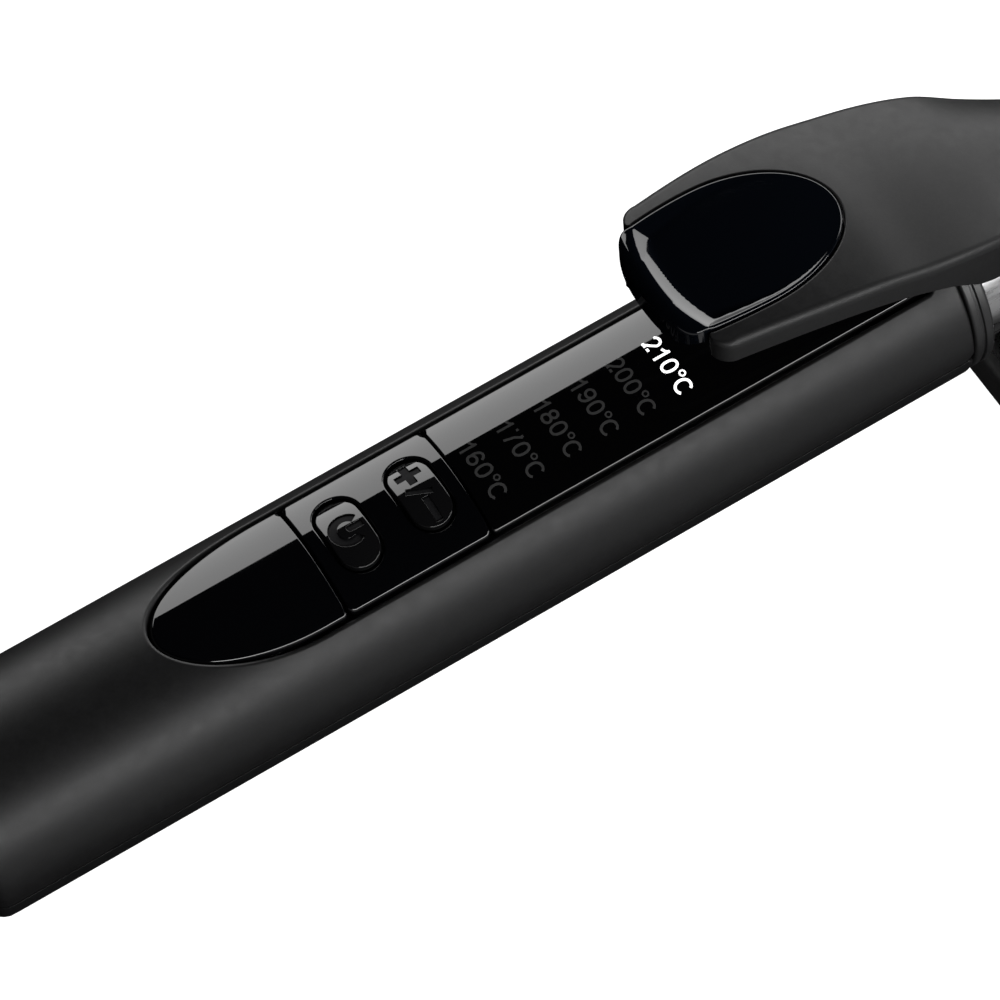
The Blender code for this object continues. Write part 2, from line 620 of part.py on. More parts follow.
def make_insert(iron):
    rear = [INSERT_REAR + d for d in (0.0, 0.25, 0.8, 1.7, 2.8, 3.8, 4.5)] + [INSERT_STEP - 0.1]
    stations = rear + insert_stations(124.6)
    stations.insert(len(rear), INSERT_STEP)
    insert = slab(stations, insert_half_width, insert_top, insert_bottom, 12)
    iron.add("thumb_insert", insert, "clamp", "gloss_black")


def make_clamp_plate(iron):
    half_angle = blend_table([(PLATE_START, 38.0), (200.0, 44.0), (296.0, 44.0), (306.0, 38.0), (311.0, 30.0),
                              (314.5, 18.0), (PLATE_END, 7.0)])
    lift = blend_table([(PLATE_START, 0.0), (302.0, 0.0), (309.0, 0.5), (PLATE_END, 1.8)])
    rings = []
    for x in [PLATE_START, 193, 200, 230, 262, 296, 302, 306, 309, 311, 313, 314.5, 315.5, PLATE_END]:
        angles = [90 + half_angle(x) * (2 * i / 12 - 1) for i in range(13)]
        over = [(PLATE_OUT * math.cos(math.radians(a)), PLATE_OUT * math.sin(math.radians(a))) for a in angles]
        under = [(PLATE_IN * math.cos(math.radians(a)), PLATE_IN * math.sin(math.radians(a))) for a in angles]
        rings.append([(x, y, z + lift(x)) for y, z in over + under[::-1]])
    plate = iron.add("clamp_plate", lofted(rings), "clamp", "black_coating")
    for name, y in (("clamp_rivet_left", RIVET_Y), ("clamp_rivet_right", -RIVET_Y)):
        iron.cut(plate, round_bar((RIVET_X, y, 8), (RIVET_X, y, 24), RIVET_R + GAP, 16), "clamp")
        top = lever_face(RIVET_X, y) + 0.4
        iron.add(name, round_bar((RIVET_X, y, 12.5), (RIVET_X, y, top), RIVET_R, 16), "clamp", "steel")


def make_pivot(iron):
    iron.add("pivot_pin", round_bar((PIVOT.x, -14.9, PIVOT.z), (PIVOT.x, 14.9, PIVOT.z), PIN_R), "handle", "steel")
    radius, wire, turns, half, per_turn = 2.4, 0.45, 5, 5.6, 8
    coil = []
    for i in range(turns * per_turn + 1):
        a = math.tau * i / per_turn
        along = -half + 2 * half * i / (turns * per_turn)
        coil.append(PIVOT + Vector((radius * math.sin(a), along, radius * math.cos(a))))
    iron.wire("clamp_spring", coil, wire, "steel")


# ---- stand ------------------------------------------------------------------------------------------------


def stand_lean():
    """Backward lean of the deployed leg from the iron's -Z, and its length to the table."""
    down = (table_height() + FOOT_X * math.sin(NOSE_UP)) / math.cos(NOSE_UP)
    dx, dz = FOOT_X - STAND_HINGE.x, -down - STAND_HINGE.z
    return math.atan2(-dx, -dz), math.hypot(dx, dz)


def make_stand(iron):
    lean, length = stand_lean()
    leg_end = length - 1.4
    half = LEG_THICK / 2
    plate = [(-half, -LEG_HALF + 2, -3.6), (-half, LEG_HALF - 2, -3.6), (-half, LEG_HALF, -7.5),
             (-half, LEG_HALF, -leg_end), (-half, -LEG_HALF, -leg_end), (-half, -LEG_HALF, -7.5)]
    leg = iron.add("stand_leg", extruded(plate, (LEG_THICK, 0, 0)), "stand", "steel", True)
    for y in (11.4, -13.2):
        points = [(x, y, z) for x, z in lug_outline((0.0, 0.0), 2.3, -5.0, 2.3)]
        iron.join(leg, extruded(points, (0, 1.8, 0)), "stand", True)
    iron.cut(leg, round_bar((0, -20, 0), (0, 20, 0), PIN_HOLE_R), "stand", True)
    slope = math.tan(lean - NOSE_UP)
    t = FOOT_HALF_THICK
    outline = [(-t, -length - t * slope), (t, -length + t * slope), (t, -length + FOOT_TALL),
               (-t, -length + FOOT_TALL)]
    foot = iron.add("stand_foot", extruded([(x, -FOOT_HALF, z) for x, z in outline], (0, 2 * FOOT_HALF, 0)),
                    "stand", "silicone", True)
    iron.cut(foot, box((-half - GAP, -LEG_HALF - GAP, -leg_end - GAP), (half + GAP, LEG_HALF + GAP, 0.0)),
             "stand", True)
    hinge = STAND_HINGE
    iron.add("stand_pin", round_bar((hinge.x, -14.2, hinge.z), (hinge.x, 14.2, hinge.z), PIN_R), "handle", "steel")


# ---- the iron ---------------------------------------------------------------------------------------------


def main():
    clear_scene()
    iron = Iron()
    iron.add_joint("clamp", PIVOT)
    iron.add_joint("power", Vector((POWER_X, 0.0, 12.0)))
    iron.add_joint("rocker", Vector((ROCKER_X, 0.0, ROCKER_Z)))
    iron.add_joint("cord_swivel", Vector((0.0, 0.0, 0.0)))
    iron.add_joint("stand", STAND_HINGE, stand_lean()[0])
    make_casings(iron)
    make_casing_screws(iron)
    make_panel(iron)
    make_key(iron, "power_key", "power", POWER_X)
    make_key(iron, "plus_minus_key", "rocker", ROCKER_X)
    make_electronics(iron)
    make_cord_inlet(iron)
    make_barrel(iron)
    make_heater(iron)
    make_lever(iron)
    make_insert(iron)
    make_clamp_plate(iron)
    make_pivot(iron)
    make_stand(iron)


main()
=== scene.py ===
"""The looks of a curling iron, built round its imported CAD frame.

Shapes are in millimetres in the iron's own frame, as in its CAD model: +X runs along the axis from the cord
end to the tip, +Z is the panel's normal, and the handle starts at X = 0. IRON takes them to the row frame.
"""

import json
import math
from collections import namedtuple

import bpy
import numpy as np
from mathutils import Matrix, Vector, geometry


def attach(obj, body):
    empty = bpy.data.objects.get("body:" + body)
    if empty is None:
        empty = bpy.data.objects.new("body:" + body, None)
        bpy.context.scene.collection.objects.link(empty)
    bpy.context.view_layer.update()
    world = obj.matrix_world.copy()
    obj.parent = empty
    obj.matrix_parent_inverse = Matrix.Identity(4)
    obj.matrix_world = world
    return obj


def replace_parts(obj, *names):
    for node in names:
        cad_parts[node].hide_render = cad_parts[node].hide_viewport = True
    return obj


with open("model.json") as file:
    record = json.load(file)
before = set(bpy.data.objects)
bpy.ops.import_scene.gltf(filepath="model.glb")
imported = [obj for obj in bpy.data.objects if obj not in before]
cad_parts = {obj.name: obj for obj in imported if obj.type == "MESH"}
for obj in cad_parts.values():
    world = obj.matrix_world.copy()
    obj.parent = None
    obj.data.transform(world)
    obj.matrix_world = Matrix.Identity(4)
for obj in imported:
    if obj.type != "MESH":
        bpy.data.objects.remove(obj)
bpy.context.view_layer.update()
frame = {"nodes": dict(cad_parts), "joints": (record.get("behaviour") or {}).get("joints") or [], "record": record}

MM = 0.001
GAP = 0.3

# Handle
HANDLE_R, HANDLE_END, WALL = 16.5, 164.0, 2.2
TAIL_HOLE_R, TAIL_FILLET = 7.5, 3.0
PARTING_Z = -1.2
SCREW_XS, SCREW_Y, SCREW_HEAD_R, SCREW_HEAD_Z = (30.0, 154.5), 9.0, 2.0, -11.0

# Panel
PANEL_HALF, PANEL_EDGE_Z, PANEL_CROWN_R = 10.0, 13.05, 22.0
PANEL_UNDER = 12.3
PANEL_REAR, TRIM_ROUND = 37.0, 22.0
TRIM_END, KEYS_START, KEYS_END = 62.55, 63.05, 86.25
WINDOW_START, WINDOW_END = 86.6, 160.0
PANEL_FILLET, SEAM_FILLET = 0.7, 0.2
POWER_X, ROCKER_X = 68.8, 80.6
KEY_HALF_X, KEY_HALF_Y, KEY_Y, KEY_PLAY = 3.2, 6.1, 0.3, 0.45
KEY_PEAK, KEY_PEAK_Y, KEY_CROWN_R, KEY_UNDER = 15.95, -1.0, 14.0, 11.6
KEY_END_FALL, KEY_EDGE, SYMBOL_DEPTH = 0.012, 0.22, 0.25
FIRST_LABEL_X, LABEL_PITCH = 88.62, 6.21
LABEL_TALL, STROKE = 2.85, 0.41
LETTER_YS = (2.8, 0.55, -1.75, -3.62, -5.3)
DEGREE_SLIM, PRINT_RISE, PRINT_STEP, PRINT_SINK = 0.62, 0.012, 0.003, 0.05
LABELS = (160, 170, 180, 190, 200, 210)
LIT_LABEL = 210

# Barrel and tip
BARREL_R, BARREL_WALL, BARREL_START, BARREL_END = 12.5, 1.0, 161.0, 318.0
TIP_END = 342.0
SLEEVE_START, SLEEVE_END, SLEEVE_R = 168.1, 186.0, 13.8
EAR_IN, EAR_OUT = 9.4, 10.9

# Clamp
PIVOT = Vector((172.0, 0.0, 17.0))
LEVER_REAR, LEVER_FRONT, LEVER_CORNER = 122.5, 194.0, 3.2
LEVER_WALL, LEVER_SHOULDER = 2.6, 1.7
INSERT_REAR, INSERT_STEP, INSERT_WIDEST, INSERT_FRONT = 118.4, 122.2, 133.0, 150.4
INSERT_HALF, INSERT_REAR_HALF = 10.8, 10.1
LIP_BOTTOM, LIP_LIFT, LIP_R = 30.6, 2.2, 1.8
CREST_X, CREST_SWEEP, CREST_ROUND, LIP_FALL, INSERT_PROUD = 120.3, 2.7, 0.12, 0.06, 0.45
DISH_RUN, SCOOP_STEEP, SCOOP_END, SCOOP_FADE = 2.4, 0.72, 0.47, 0.4
DISH_REACH, DISH_LEAST, DISH_RISE = 34.0, 0.12, 1.6
EDGE_SLOPE, EDGE_LEAN, EDGE_BEND = 0.78, 0.24, 0.14
RIVET_X, RIVET_Y = 191.0, 4.0
PLATE_START, PLATE_END, PLATE_IN, PLATE_OUT = 187.0, 316.0, 12.8, 13.6

# Stand
STAND_HINGE = Vector((180.0, 0.0, -15.8))
FOOT_X, LEG_HALF, LEG_THICK = 175.0, 16.0, 1.6
FOOT_HALF, FOOT_HALF_THICK, FOOT_TALL = 17.2, 2.6, 4.6

# Cord inlet
GLAND_OUT, GLAND_R, CABLE_HOLE_R = 10.0, 9.5, 4.3

JOINTS = {joint["name"]: joint for joint in frame["joints"]}
BODY_OF = {node: body for body, nodes in frame["record"]["behaviour"]["bodies"].items() for node in nodes}
SLOT_OF = {part["node"]: part["material_slot"] for part in frame["record"]["subparts"]}


def iron_frame():
    """The matrix from the iron's frame in millimetres to the row frame in metres."""
    joint = JOINTS["cord_turn"]
    along = Vector(joint["axis"]).normalized()
    side = Vector((0.0, 1.0, 0.0))
    turn = Matrix((along, side, along.cross(side))).transposed().to_4x4()
    return Matrix.Translation(joint["pos_m"]) @ turn @ Matrix.Scale(MM, 4)


IRON = iron_frame()
IRON_TURN = IRON.to_3x3().normalized()


# ---- meshes with exact normals ----


class Skin:
    """The points, faces and corner normals of one piece."""

    def __init__(self):
        self.points, self.known = [], {}
        self.faces, self.normals = [], []

    def point(self, position):
        key = tuple(round(c, 4) for c in position)
        if key not in self.known:
            self.known[key] = len(self.points)
            self.points.append(Vector(position))
        return self.known[key]

    def face(self, corners):
        """One face through (position, normal) corners, turned to agree with its normals."""
        found = {}
        for position, normal in corners:
            found.setdefault(self.point(position), Vector(normal))
        if len(found) < 3:
            return
        ids, normals = list(found), list(found.values())
        flat = geometry.normal([self.points[i] for i in ids])
        if flat.length < 0.5:
            return
        if flat.dot(sum(normals, Vector())) < 0:
            ids.reverse()
            normals.reverse()
        self.faces.append(ids)
        self.normals.extend(normals)

    def band(self, first, second, closed=True):
        """Faces between two rows of corners."""
        for i in range(len(first) if closed else len(first) - 1):
            j = (i + 1) % len(first)
            self.face((first[i], first[j], second[j], second[i]))

    def moved(self, matrix):
        """The same skin, carried by a matrix."""
        self.points = [matrix @ p for p in self.points]
        self.normals = [(matrix.to_3x3() @ n).normalized() for n in self.normals]
        return self

    def joined(self, other):
        """This skin with another's faces added."""
        start = len(self.points)
        self.points += other.points
        self.faces += [[i + start for i in face] for face in other.faces]
        self.normals += other.normals
        return self


def rider(name, skin, looks, node):
    """The object of a skin, which goes with a CAD node's body."""
    mesh = bpy.data.meshes.new(name)
    mesh.from_pydata([IRON @ p for p in skin.points], [], skin.faces)
    mesh.polygons.foreach_set("use_smooth", [True] * len(mesh.polygons))
    mesh.normals_split_custom_set([IRON_TURN @ n for n in skin.normals])
    mesh.materials.append(looks)
    obj = bpy.data.objects.new(name, mesh)
    bpy.context.scene.collection.objects.link(obj)
    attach(obj, BODY_OF[node])
    return obj


def piece(name, skin, looks, node):
    """A rider that stands for its CAD node."""
    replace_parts(rider(name, skin, looks, node), node)


def slerp(a, b, t):
    angle = a.angle(b)
    if angle < 1e-5:
        return a.copy()
    return (a * math.sin((1 - t) * angle) + b * math.sin(t * angle)) / math.sin(angle)


# ---- plates: a surface with rounded edges, walls and an underside ----

# One point of a plate's edge: its place in the plate's own plane, the way out of the wall, the edge's radius,
# and foot, which takes the wall's top to the points that the wall passes on its way to the underside.
Rim = namedtuple("Rim", "a b out radius foot")


def contains(loops, points):
    """Which points lie inside the loops, counting a loop within a loop as a hole."""
    inside = np.zeros(len(points), bool)
    for loop in loops:
        start = np.array(loop)
        end = np.roll(start, -1, axis=0)
        for (x0, y0), (x1, y1) in zip(start, end):
            if y0 == y1:
                continue
            spans = (points[:, 1] > min(y0, y1)) & (points[:, 1] <= max(y0, y1))
            cross = x0 + (points[:, 1] - y0) * (x1 - x0) / (y1 - y0)
            inside ^= spans & (points[:, 0] < cross)
    return inside


def triangulated(loops, spacing):
    """Points and triangles inside the loops. The loops' own points come first."""
    outline = np.array([p for loop in loops for p in loop])
    low, high = outline.min(0), outline.max(0)
    rows = np.arange(low[1] + spacing / 2, high[1], spacing * 0.87)
    columns = np.arange(low[0] + spacing / 2, high[0], spacing)
    grid = np.array([(x + (k % 2) * spacing / 2, y) for k, y in enumerate(rows) for x in columns])
    grid = grid[contains(loops, grid)]
    apart = np.array([np.hypot(*(outline - p).T).min() for p in grid])
    grid = grid[apart > 0.55 * spacing]
    points = [Vector(p) for p in np.concatenate([outline, grid])]
    edges, start = [], 0
    for loop in loops:
        edges += [(start + i, start + (i + 1) % len(loop)) for i in range(len(loop))]
        start += len(loop)
    found, _, faces, origins, _, _ = geometry.delaunay_2d_cdt(points, edges, [], 0, 1e-6)
    centres = np.array([sum((found[i] for i in face), Vector((0, 0))) / 3 for face in faces])
    kept = contains(loops, centres)
    return points, [[origins[i][0] for i in face] for face, keep in zip(faces, kept) if keep]


def plate(loops, top, under, spacing=1.0, steps=5):
    """A plate over one outer loop of rims and any holes. top and under give a position and a normal."""
    skin = Skin()
    tops, plans, walls = [], [], []
    for loop in loops:
        plan, ring = [], []
        for i, rim in enumerate(loop):
            before, after = loop[i - 1], loop[(i + 1) % len(loop)]
            along = Vector((after.a - before.a, after.b - before.b)).normalized()
            inward = Vector((-along.y, along.x))
            edge = top(rim.a, rim.b)[0]
            depth = rim.radius
            for _ in range(5):
                here, normal = top(rim.a + depth * inward.x, rim.b + depth * inward.y)
                reach = max((edge - here).dot(rim.out), 1e-3)
                depth *= min(2.0, rim.radius * (1 - normal.dot(rim.out)) / reach)
            here, normal = top(rim.a + depth * inward.x, rim.b + depth * inward.y)
            plan.append((rim.a + depth * inward.x, rim.b + depth * inward.y))
            ring.append((here, normal, rim))
        plans.append(plan)
        tops += [(here, normal) for here, normal, _ in ring]
        walls.append(ring)
    points, faces = triangulated(plans, spacing)
    tops += [top(p.x, p.y) for p in points[len(tops):]]
    feet = []
    for ring in walls:
        rows = []
        for k in range(steps + 1):
            row = []
            for here, normal, rim in ring:
                turned_to = slerp(normal, rim.out, k / steps)
                row.append((here + rim.radius * (turned_to - normal), turned_to))
            rows.append(row)
        for first, second in zip(rows, rows[1:]):
            skin.band(first, second)
        paths = [[edge] + rim.foot(edge) for (edge, _), (_, _, rim) in zip(rows[-1], ring)]
        for k in range(len(paths[0]) - 1):
            first, second = [], []
            for path, (_, _, rim) in zip(paths, ring):
                facing = wall_normal(rim.out, k)
                first.append((path[k], facing))
                second.append((path[k + 1], facing))
            skin.band(first, second)
        feet += [path[-1] for path in paths]
    for face in faces:
        skin.face([tops[i] for i in face])
    lows = [under(p.x, p.y) for p in points]
    lows = [(feet[i], low[1]) if i < len(feet) else low for i, low in enumerate(lows)]
    for face in faces:
        skin.face([lows[i] for i in face])
    return skin


def wall_normal(out, stage):
    """The normal of a stretch of wall: out on its face, then down on its rim, then in on its back."""
    return (out, Vector((0, 0, -1)), -out)[stage]


def height_field(height, step=0.02):
    """A surface z = height(x, y), with its normal."""

    def surface(x, y):
        slope_x = (height(x + step, y) - height(x - step, y)) / (2 * step)
        slope_y = (height(x, y + step) - height(x, y - step)) / (2 * step)
        return Vector((x, y, height(x, y))), Vector((-slope_x, -slope_y, 1.0)).normalized()

    return surface


def varying(value):
    """A value over the plan: a function of x and y stays one, and a number becomes one."""
    return value if callable(value) else lambda x, y: value


def floor_field(height):
    """The underside of a plate."""
    at = varying(height)
    return lambda x, y: (Vector((x, y, at(x, y))), Vector((0.0, 0.0, -1.0)))


def plan_rims(points, radius, foot):
    """Rims along a closed outline in plan, with the piece on its left."""
    radius_at = varying(radius)
    rims = []
    for i, (x, y) in enumerate(points):
        (x0, y0), (x1, y1) = points[i - 1], points[(i + 1) % len(points)]
        out = Vector((y1 - y0, x0 - x1, 0.0)).normalized()
        rims.append(Rim(x, y, out, radius_at(x, y), foot))
    return rims


def down_to(height):
    """A foot that drops to a height."""
    at = varying(height)
    return lambda p: [Vector((p.x, p.y, at(p.x, p.y)))]


def arc(centre, radius, start, end, spacing=0.35):
    """Points of an arc, by angles in degrees."""
    count = max(3, round(abs(math.radians(end - start)) * radius / spacing))
    angles = [math.radians(start + (end - start) * i / count) for i in range(count + 1)]
    return [(centre[0] + radius * math.cos(a), centre[1] + radius * math.sin(a)) for a in angles]


def line(start, end, spacing=0.8):
    """Points of a straight stretch, without its ends."""
    count = max(1, round(math.dist(start, end) / spacing))
    return [(start[0] + (end[0] - start[0]) * i / count, start[1] + (end[1] - start[1]) * i / count)
            for i in range(1, count)]


def rounded_outline(corners, spacing=0.8):
    """A counter-clockwise outline of straight stretches between rounded (x, y, radius) corners."""
    points = []
    count = len(corners)
    arcs = []
    for i, (x, y, radius) in enumerate(corners):
        corner = Vector((x, y))
        back = (Vector(corners[i - 1][:2]) - corner).normalized()
        ahead = (Vector(corners[(i + 1) % count][:2]) - corner).normalized()
        half = back.angle(ahead) / 2
        centre = corner + (back + ahead).normalized() * radius / math.sin(half)
        turn = math.degrees(math.pi - 2 * half)
        start = math.degrees(math.atan2(*reversed((corner + back * radius / math.tan(half)) - centre)))
        arcs.append(arc(centre, radius, start, start + turn, min(0.35, radius / 3)))
    for i in range(count):
        points += arcs[i] + line(arcs[i][-1], arcs[(i + 1) % count][0], spacing)
    return points


def smooth_through(pairs):
    """A smooth function through (x, value) pairs."""
    xs = [x for x, _ in pairs]
    values = [v for _, v in pairs]
    slopes = []
    for i in range(len(pairs)):
        low, high = max(0, i - 1), min(len(pairs) - 1, i + 1)
        slopes.append((values[high] - values[low]) / (xs[high] - xs[low]))

    def value(x):
        x = min(max(x, xs[0]), xs[-1])
        i = max(k for k in range(len(xs) - 1) if xs[k] <= x)
        wide = xs[i + 1] - xs[i]
        t = (x - xs[i]) / wide
        return ((2 * t**3 - 3 * t**2 + 1) * values[i] + (t**3 - 2 * t**2 + t) * wide * slopes[i]
                + (3 * t**2 - 2 * t**3) * values[i + 1] + (t**3 - t**2) * wide * slopes[i + 1])

    return value


# ---- turned pieces ----


def turned(corners, segments=96):
    """A closed outline of (x, radius, fillet) corners spun round the X axis."""
    area = sum(a[0] * b[1] - b[0] * a[1] for a, b in zip(corners, corners[1:] + corners[:1]))
    if area < 0:
        corners = corners[::-1]
    outline = []
    for i, (x, r, fillet) in enumerate(corners):
        corner = Vector((x, r))
        back = Vector(corners[i - 1][:2]) - corner
        ahead = Vector(corners[(i + 1) % len(corners)][:2]) - corner
        arriving = Vector((-back.y, back.x)).normalized()
        leaving = Vector((ahead.y, -ahead.x)).normalized()
        if fillet == 0:
            outline.append((corner, arriving, leaving))
            continue
        half = back.angle(ahead) / 2
        reach = fillet / math.tan(half)
        turn = arriving.angle_signed(leaving)
        convex = arriving.cross(leaving) > 0
        centre = corner + back.normalized() * reach - arriving * fillet * (1 if convex else -1)
        steps = max(3, round(abs(math.degrees(turn)) / 12))
        for k in range(steps + 1):
            angle = math.atan2(arriving.y, arriving.x) - turn * k / steps
            way = Vector((math.cos(angle), math.sin(angle)))
            outline.append((centre + way * fillet * (1 if convex else -1), way, way))
    skin = Skin()
    for (p, _, n0), (q, n1, _) in zip(outline, outline[1:] + outline[:1]):
        rows = []
        for point, normal in ((p, n0), (q, n1)):
            rows.append([])
            for k in range(segments):
                c, s = math.cos(math.tau * k / segments), math.sin(math.tau * k / segments)
                rows[-1].append((Vector((point.x, point.y * s, point.y * c)),
                                 Vector((normal.x, normal.y * s, normal.y * c))))
        skin.band(rows[0], rows[1])
    return skin


def across(centre):
    """Takes a turned piece from the X axis to a line along Y through a centre."""
    return Matrix.Translation(centre) @ Matrix.Rotation(math.pi / 2, 4, "Z")


def standing(x, y, z=0.0):
    """Takes a turned piece from the X axis to a line along Z."""
    return Matrix.Translation((x, y, z)) @ Matrix.Rotation(-math.pi / 2, 4, "Y")


# ---- materials ----


class Looks:
    """A Principled material with procedural detail from object coordinates."""

    def __init__(self, name, colour, roughness, metallic=0.0):
        self.material = bpy.data.materials.new(name)
        self.material.use_nodes = True
        self.nodes = self.material.node_tree.nodes
        self.links = self.material.node_tree.links
        self.shader = self.nodes["Principled BSDF"]
        self.colour, self.roughness = colour, roughness
        self.shader.inputs["Base Color"].default_value = (*colour, 1.0)
        self.shader.inputs["Roughness"].default_value = roughness
        self.shader.inputs["Metallic"].default_value = metallic
        self.place = self.nodes.new("ShaderNodeTexCoord").outputs["Object"]

    def set(self, **values):
        for key, value in values.items():
            self.shader.inputs[key.replace("_", " ")].default_value = value
        return self

    def noise(self, size_mm, detail=3.0, stretch=None):
        """A noise whose features are about this size."""
        place = self.place
        if stretch:
            mapping = self.nodes.new("ShaderNodeMapping")
            mapping.inputs["Scale"].default_value = stretch
            self.links.new(place, mapping.inputs["Vector"])
            place = mapping.outputs["Vector"]
        texture = self.nodes.new("ShaderNodeTexNoise")
        texture.inputs["Scale"].default_value = 1 / (size_mm * MM)
        texture.inputs["Detail"].default_value = detail
        self.links.new(place, texture.inputs["Vector"])
        return texture.outputs["Fac"]

    def spread(self, source, low, high):
        """The source mapped from its middle range to low and high."""
        mapped = self.nodes.new("ShaderNodeMapRange")
        mapped.inputs["From Min"].default_value = 0.3
        mapped.inputs["From Max"].default_value = 0.7
        mapped.inputs["To Min"].default_value = low
        mapped.inputs["To Max"].default_value = high
        self.links.new(source, mapped.inputs["Value"])
        return mapped.outputs["Result"]

    def vary_roughness(self, source, amount):
        mapped = self.spread(source, max(0.0, self.roughness - amount), self.roughness + amount)
        self.links.new(mapped, self.shader.inputs["Roughness"])
        return self

    def vary_colour(self, source, amount):
        """The colour goes from darker to lighter by a share of itself."""
        mix = self.nodes.new("ShaderNodeMix")
        mix.data_type = "RGBA"
        mix.inputs["A"].default_value = (*(c * (1 - amount) for c in self.colour), 1.0)
        mix.inputs["B"].default_value = (*(c * (1 + amount) for c in self.colour), 1.0)
        self.links.new(self.spread(source, 0.0, 1.0), mix.inputs["Factor"])
        self.links.new(mix.outputs["Result"], self.shader.inputs["Base Color"])
        return self

    def bump(self, source, depth_mm, strength=1.0):
        node = self.nodes.new("ShaderNodeBump")
        node.inputs["Strength"].default_value = strength
        node.inputs["Distance"].default_value = depth_mm * MM
        self.links.new(source, node.inputs["Height"])
        self.links.new(node.outputs["Normal"], self.shader.inputs["Normal"])
        return self


def soft_touch():
    looks = Looks("soft_touch", (0.0050, 0.0050, 0.0053), 0.47)
    looks.set(Specular_IOR_Level=0.34)
    looks.vary_colour(looks.noise(0.5, 5.0), 0.25)
    looks.vary_roughness(looks.noise(1.6, 4.0), 0.03)
    return looks.bump(looks.noise(0.22, 2.0), 0.012, 0.5).material


def piano_gloss(name, tint=(0.0016, 0.0017, 0.0022)):
    looks = Looks(name, tint, 0.035)
    looks.vary_roughness(looks.noise(9.0, 2.0), 0.012)
    return looks.bump(looks.noise(14.0, 1.0), 0.004, 0.35).material


def symbol_ink():
    looks = Looks("symbol_ink", (0.011, 0.011, 0.012), 0.5)
    looks.set(Specular_IOR_Level=0.05)
    return looks.vary_colour(looks.noise(0.3), 0.2).material


def label_print(name, colour, glow=0.0):
    looks = Looks(name, colour, 0.05)
    looks.vary_colour(looks.noise(0.6), 0.06)
    if glow:
        looks.set(Emission_Color=(1.0, 1.0, 1.0, 1.0), Emission_Strength=glow)
    return looks.material


def heat_plastic():
    looks = Looks("heat_plastic", (0.011, 0.011, 0.0115), 0.42)
    looks.vary_colour(looks.noise(0.6, 4.0), 0.2)
    return looks.bump(looks.noise(0.3, 3.0), 0.01, 0.5).material


def coated_metal():
    looks = Looks("coated_metal", (0.014, 0.014, 0.0155), 0.22)
    looks.set(Coat_Weight=0.6, Coat_Roughness=0.08)
    looks.vary_roughness(looks.noise(4.0, 4.0, (0.25, 1.0, 1.0)), 0.04)
    looks.vary_colour(looks.noise(0.35, 3.0), 0.25)
    return looks.bump(looks.noise(0.5, 2.0), 0.003, 0.4).material


def brushed_steel():
    looks = Looks("brushed_steel", (0.47, 0.47, 0.475), 0.3, 1.0)
    looks.vary_roughness(looks.noise(0.6, 4.0, (0.08, 1.0, 1.0)), 0.08)
    return looks.bump(looks.noise(0.3, 3.0, (0.05, 1.0, 1.0)), 0.004, 0.4).material


def rubber():
    looks = Looks("foot_rubber", (0.016, 0.016, 0.016), 0.68)
    looks.vary_colour(looks.noise(0.8, 4.0), 0.2)
    return looks.bump(looks.noise(0.35, 3.0), 0.02, 0.6).material


def plain_plastic(name, colour, roughness, grain=0.4):
    looks = Looks(name, colour, roughness)
    looks.vary_colour(looks.noise(1.2, 3.0), 0.08)
    return looks.bump(looks.noise(grain, 2.0), 0.01, 0.4).material


def plain_metal(name, colour, roughness):
    looks = Looks(name, colour, roughness, 1.0)
    looks.vary_roughness(looks.noise(0.8, 3.0, (0.2, 1.0, 1.0)), 0.06)
    return looks.vary_colour(looks.noise(2.0, 3.0), 0.05).material


SOFT, GLOSS = soft_touch(), piano_gloss("piano_gloss")
GLASS = piano_gloss("label_glass", (0.0012, 0.0012, 0.0014))
KEY_GLOSS = piano_gloss("key_gloss", (0.0048, 0.0048, 0.0052))
DISH_GLOSS = piano_gloss("dish_gloss", (0.0016, 0.0022, 0.0036))
HEAT, COATED, STEEL, RUBBER, INK = heat_plastic(), coated_metal(), brushed_steel(), rubber(), symbol_ink()

INNER_LOOKS = {
    "steel": STEEL,
    "white_plastic": plain_plastic("white_plastic", (0.72, 0.72, 0.69), 0.5),
    # The board's near-black colour is painted shade: it makes the gaps round the keys look dark, in place of the
    # board's own colour.
    "board": plain_plastic("board_painted_shade", (0.004, 0.005, 0.004), 0.35, 0.9),
    "component_black": plain_plastic("component_black", (0.02, 0.02, 0.02), 0.42),
    "led": plain_plastic("led_white", (0.82, 0.82, 0.78), 0.25),
    "film": plain_plastic("film_yellow", (0.48, 0.3, 0.06), 0.35),
    "ceramic_grey": plain_plastic("ceramic_grey", (0.25, 0.24, 0.23), 0.62),
    "brass": plain_metal("brass", (0.6, 0.42, 0.16), 0.28),
    "carrier_aluminium": plain_metal("carrier_aluminium", (0.68, 0.68, 0.69), 0.38),
    "wire_red": plain_plastic("wire_red", (0.38, 0.02, 0.02), 0.45),
    "wire_white": plain_plastic("wire_white", (0.68, 0.68, 0.67), 0.45),
}


# ---- handle ----

TAIL_FLAT = HANDLE_R - TAIL_FILLET - TAIL_HOLE_R
TAIL_ARC = TAIL_FILLET * math.pi / 2
# On the side, a place's length along the profile is its X plus this.
SIDE_START = TAIL_FLAT + TAIL_ARC - TAIL_FILLET


def casing_profile(t):
    """X, radius and normal of the casing's outline, by length from the cord hole's edge."""
    if t < TAIL_FLAT:
        return 0.0, TAIL_HOLE_R + t, -1.0, 0.0
    if t < TAIL_FLAT + TAIL_ARC:
        a = (t - TAIL_FLAT) / TAIL_FILLET
        return (TAIL_FILLET * (1 - math.cos(a)), HANDLE_R - TAIL_FILLET + TAIL_FILLET * math.sin(a),
                -math.cos(a), math.sin(a))
    return t - SIDE_START, HANDLE_R, 0.0, 1.0


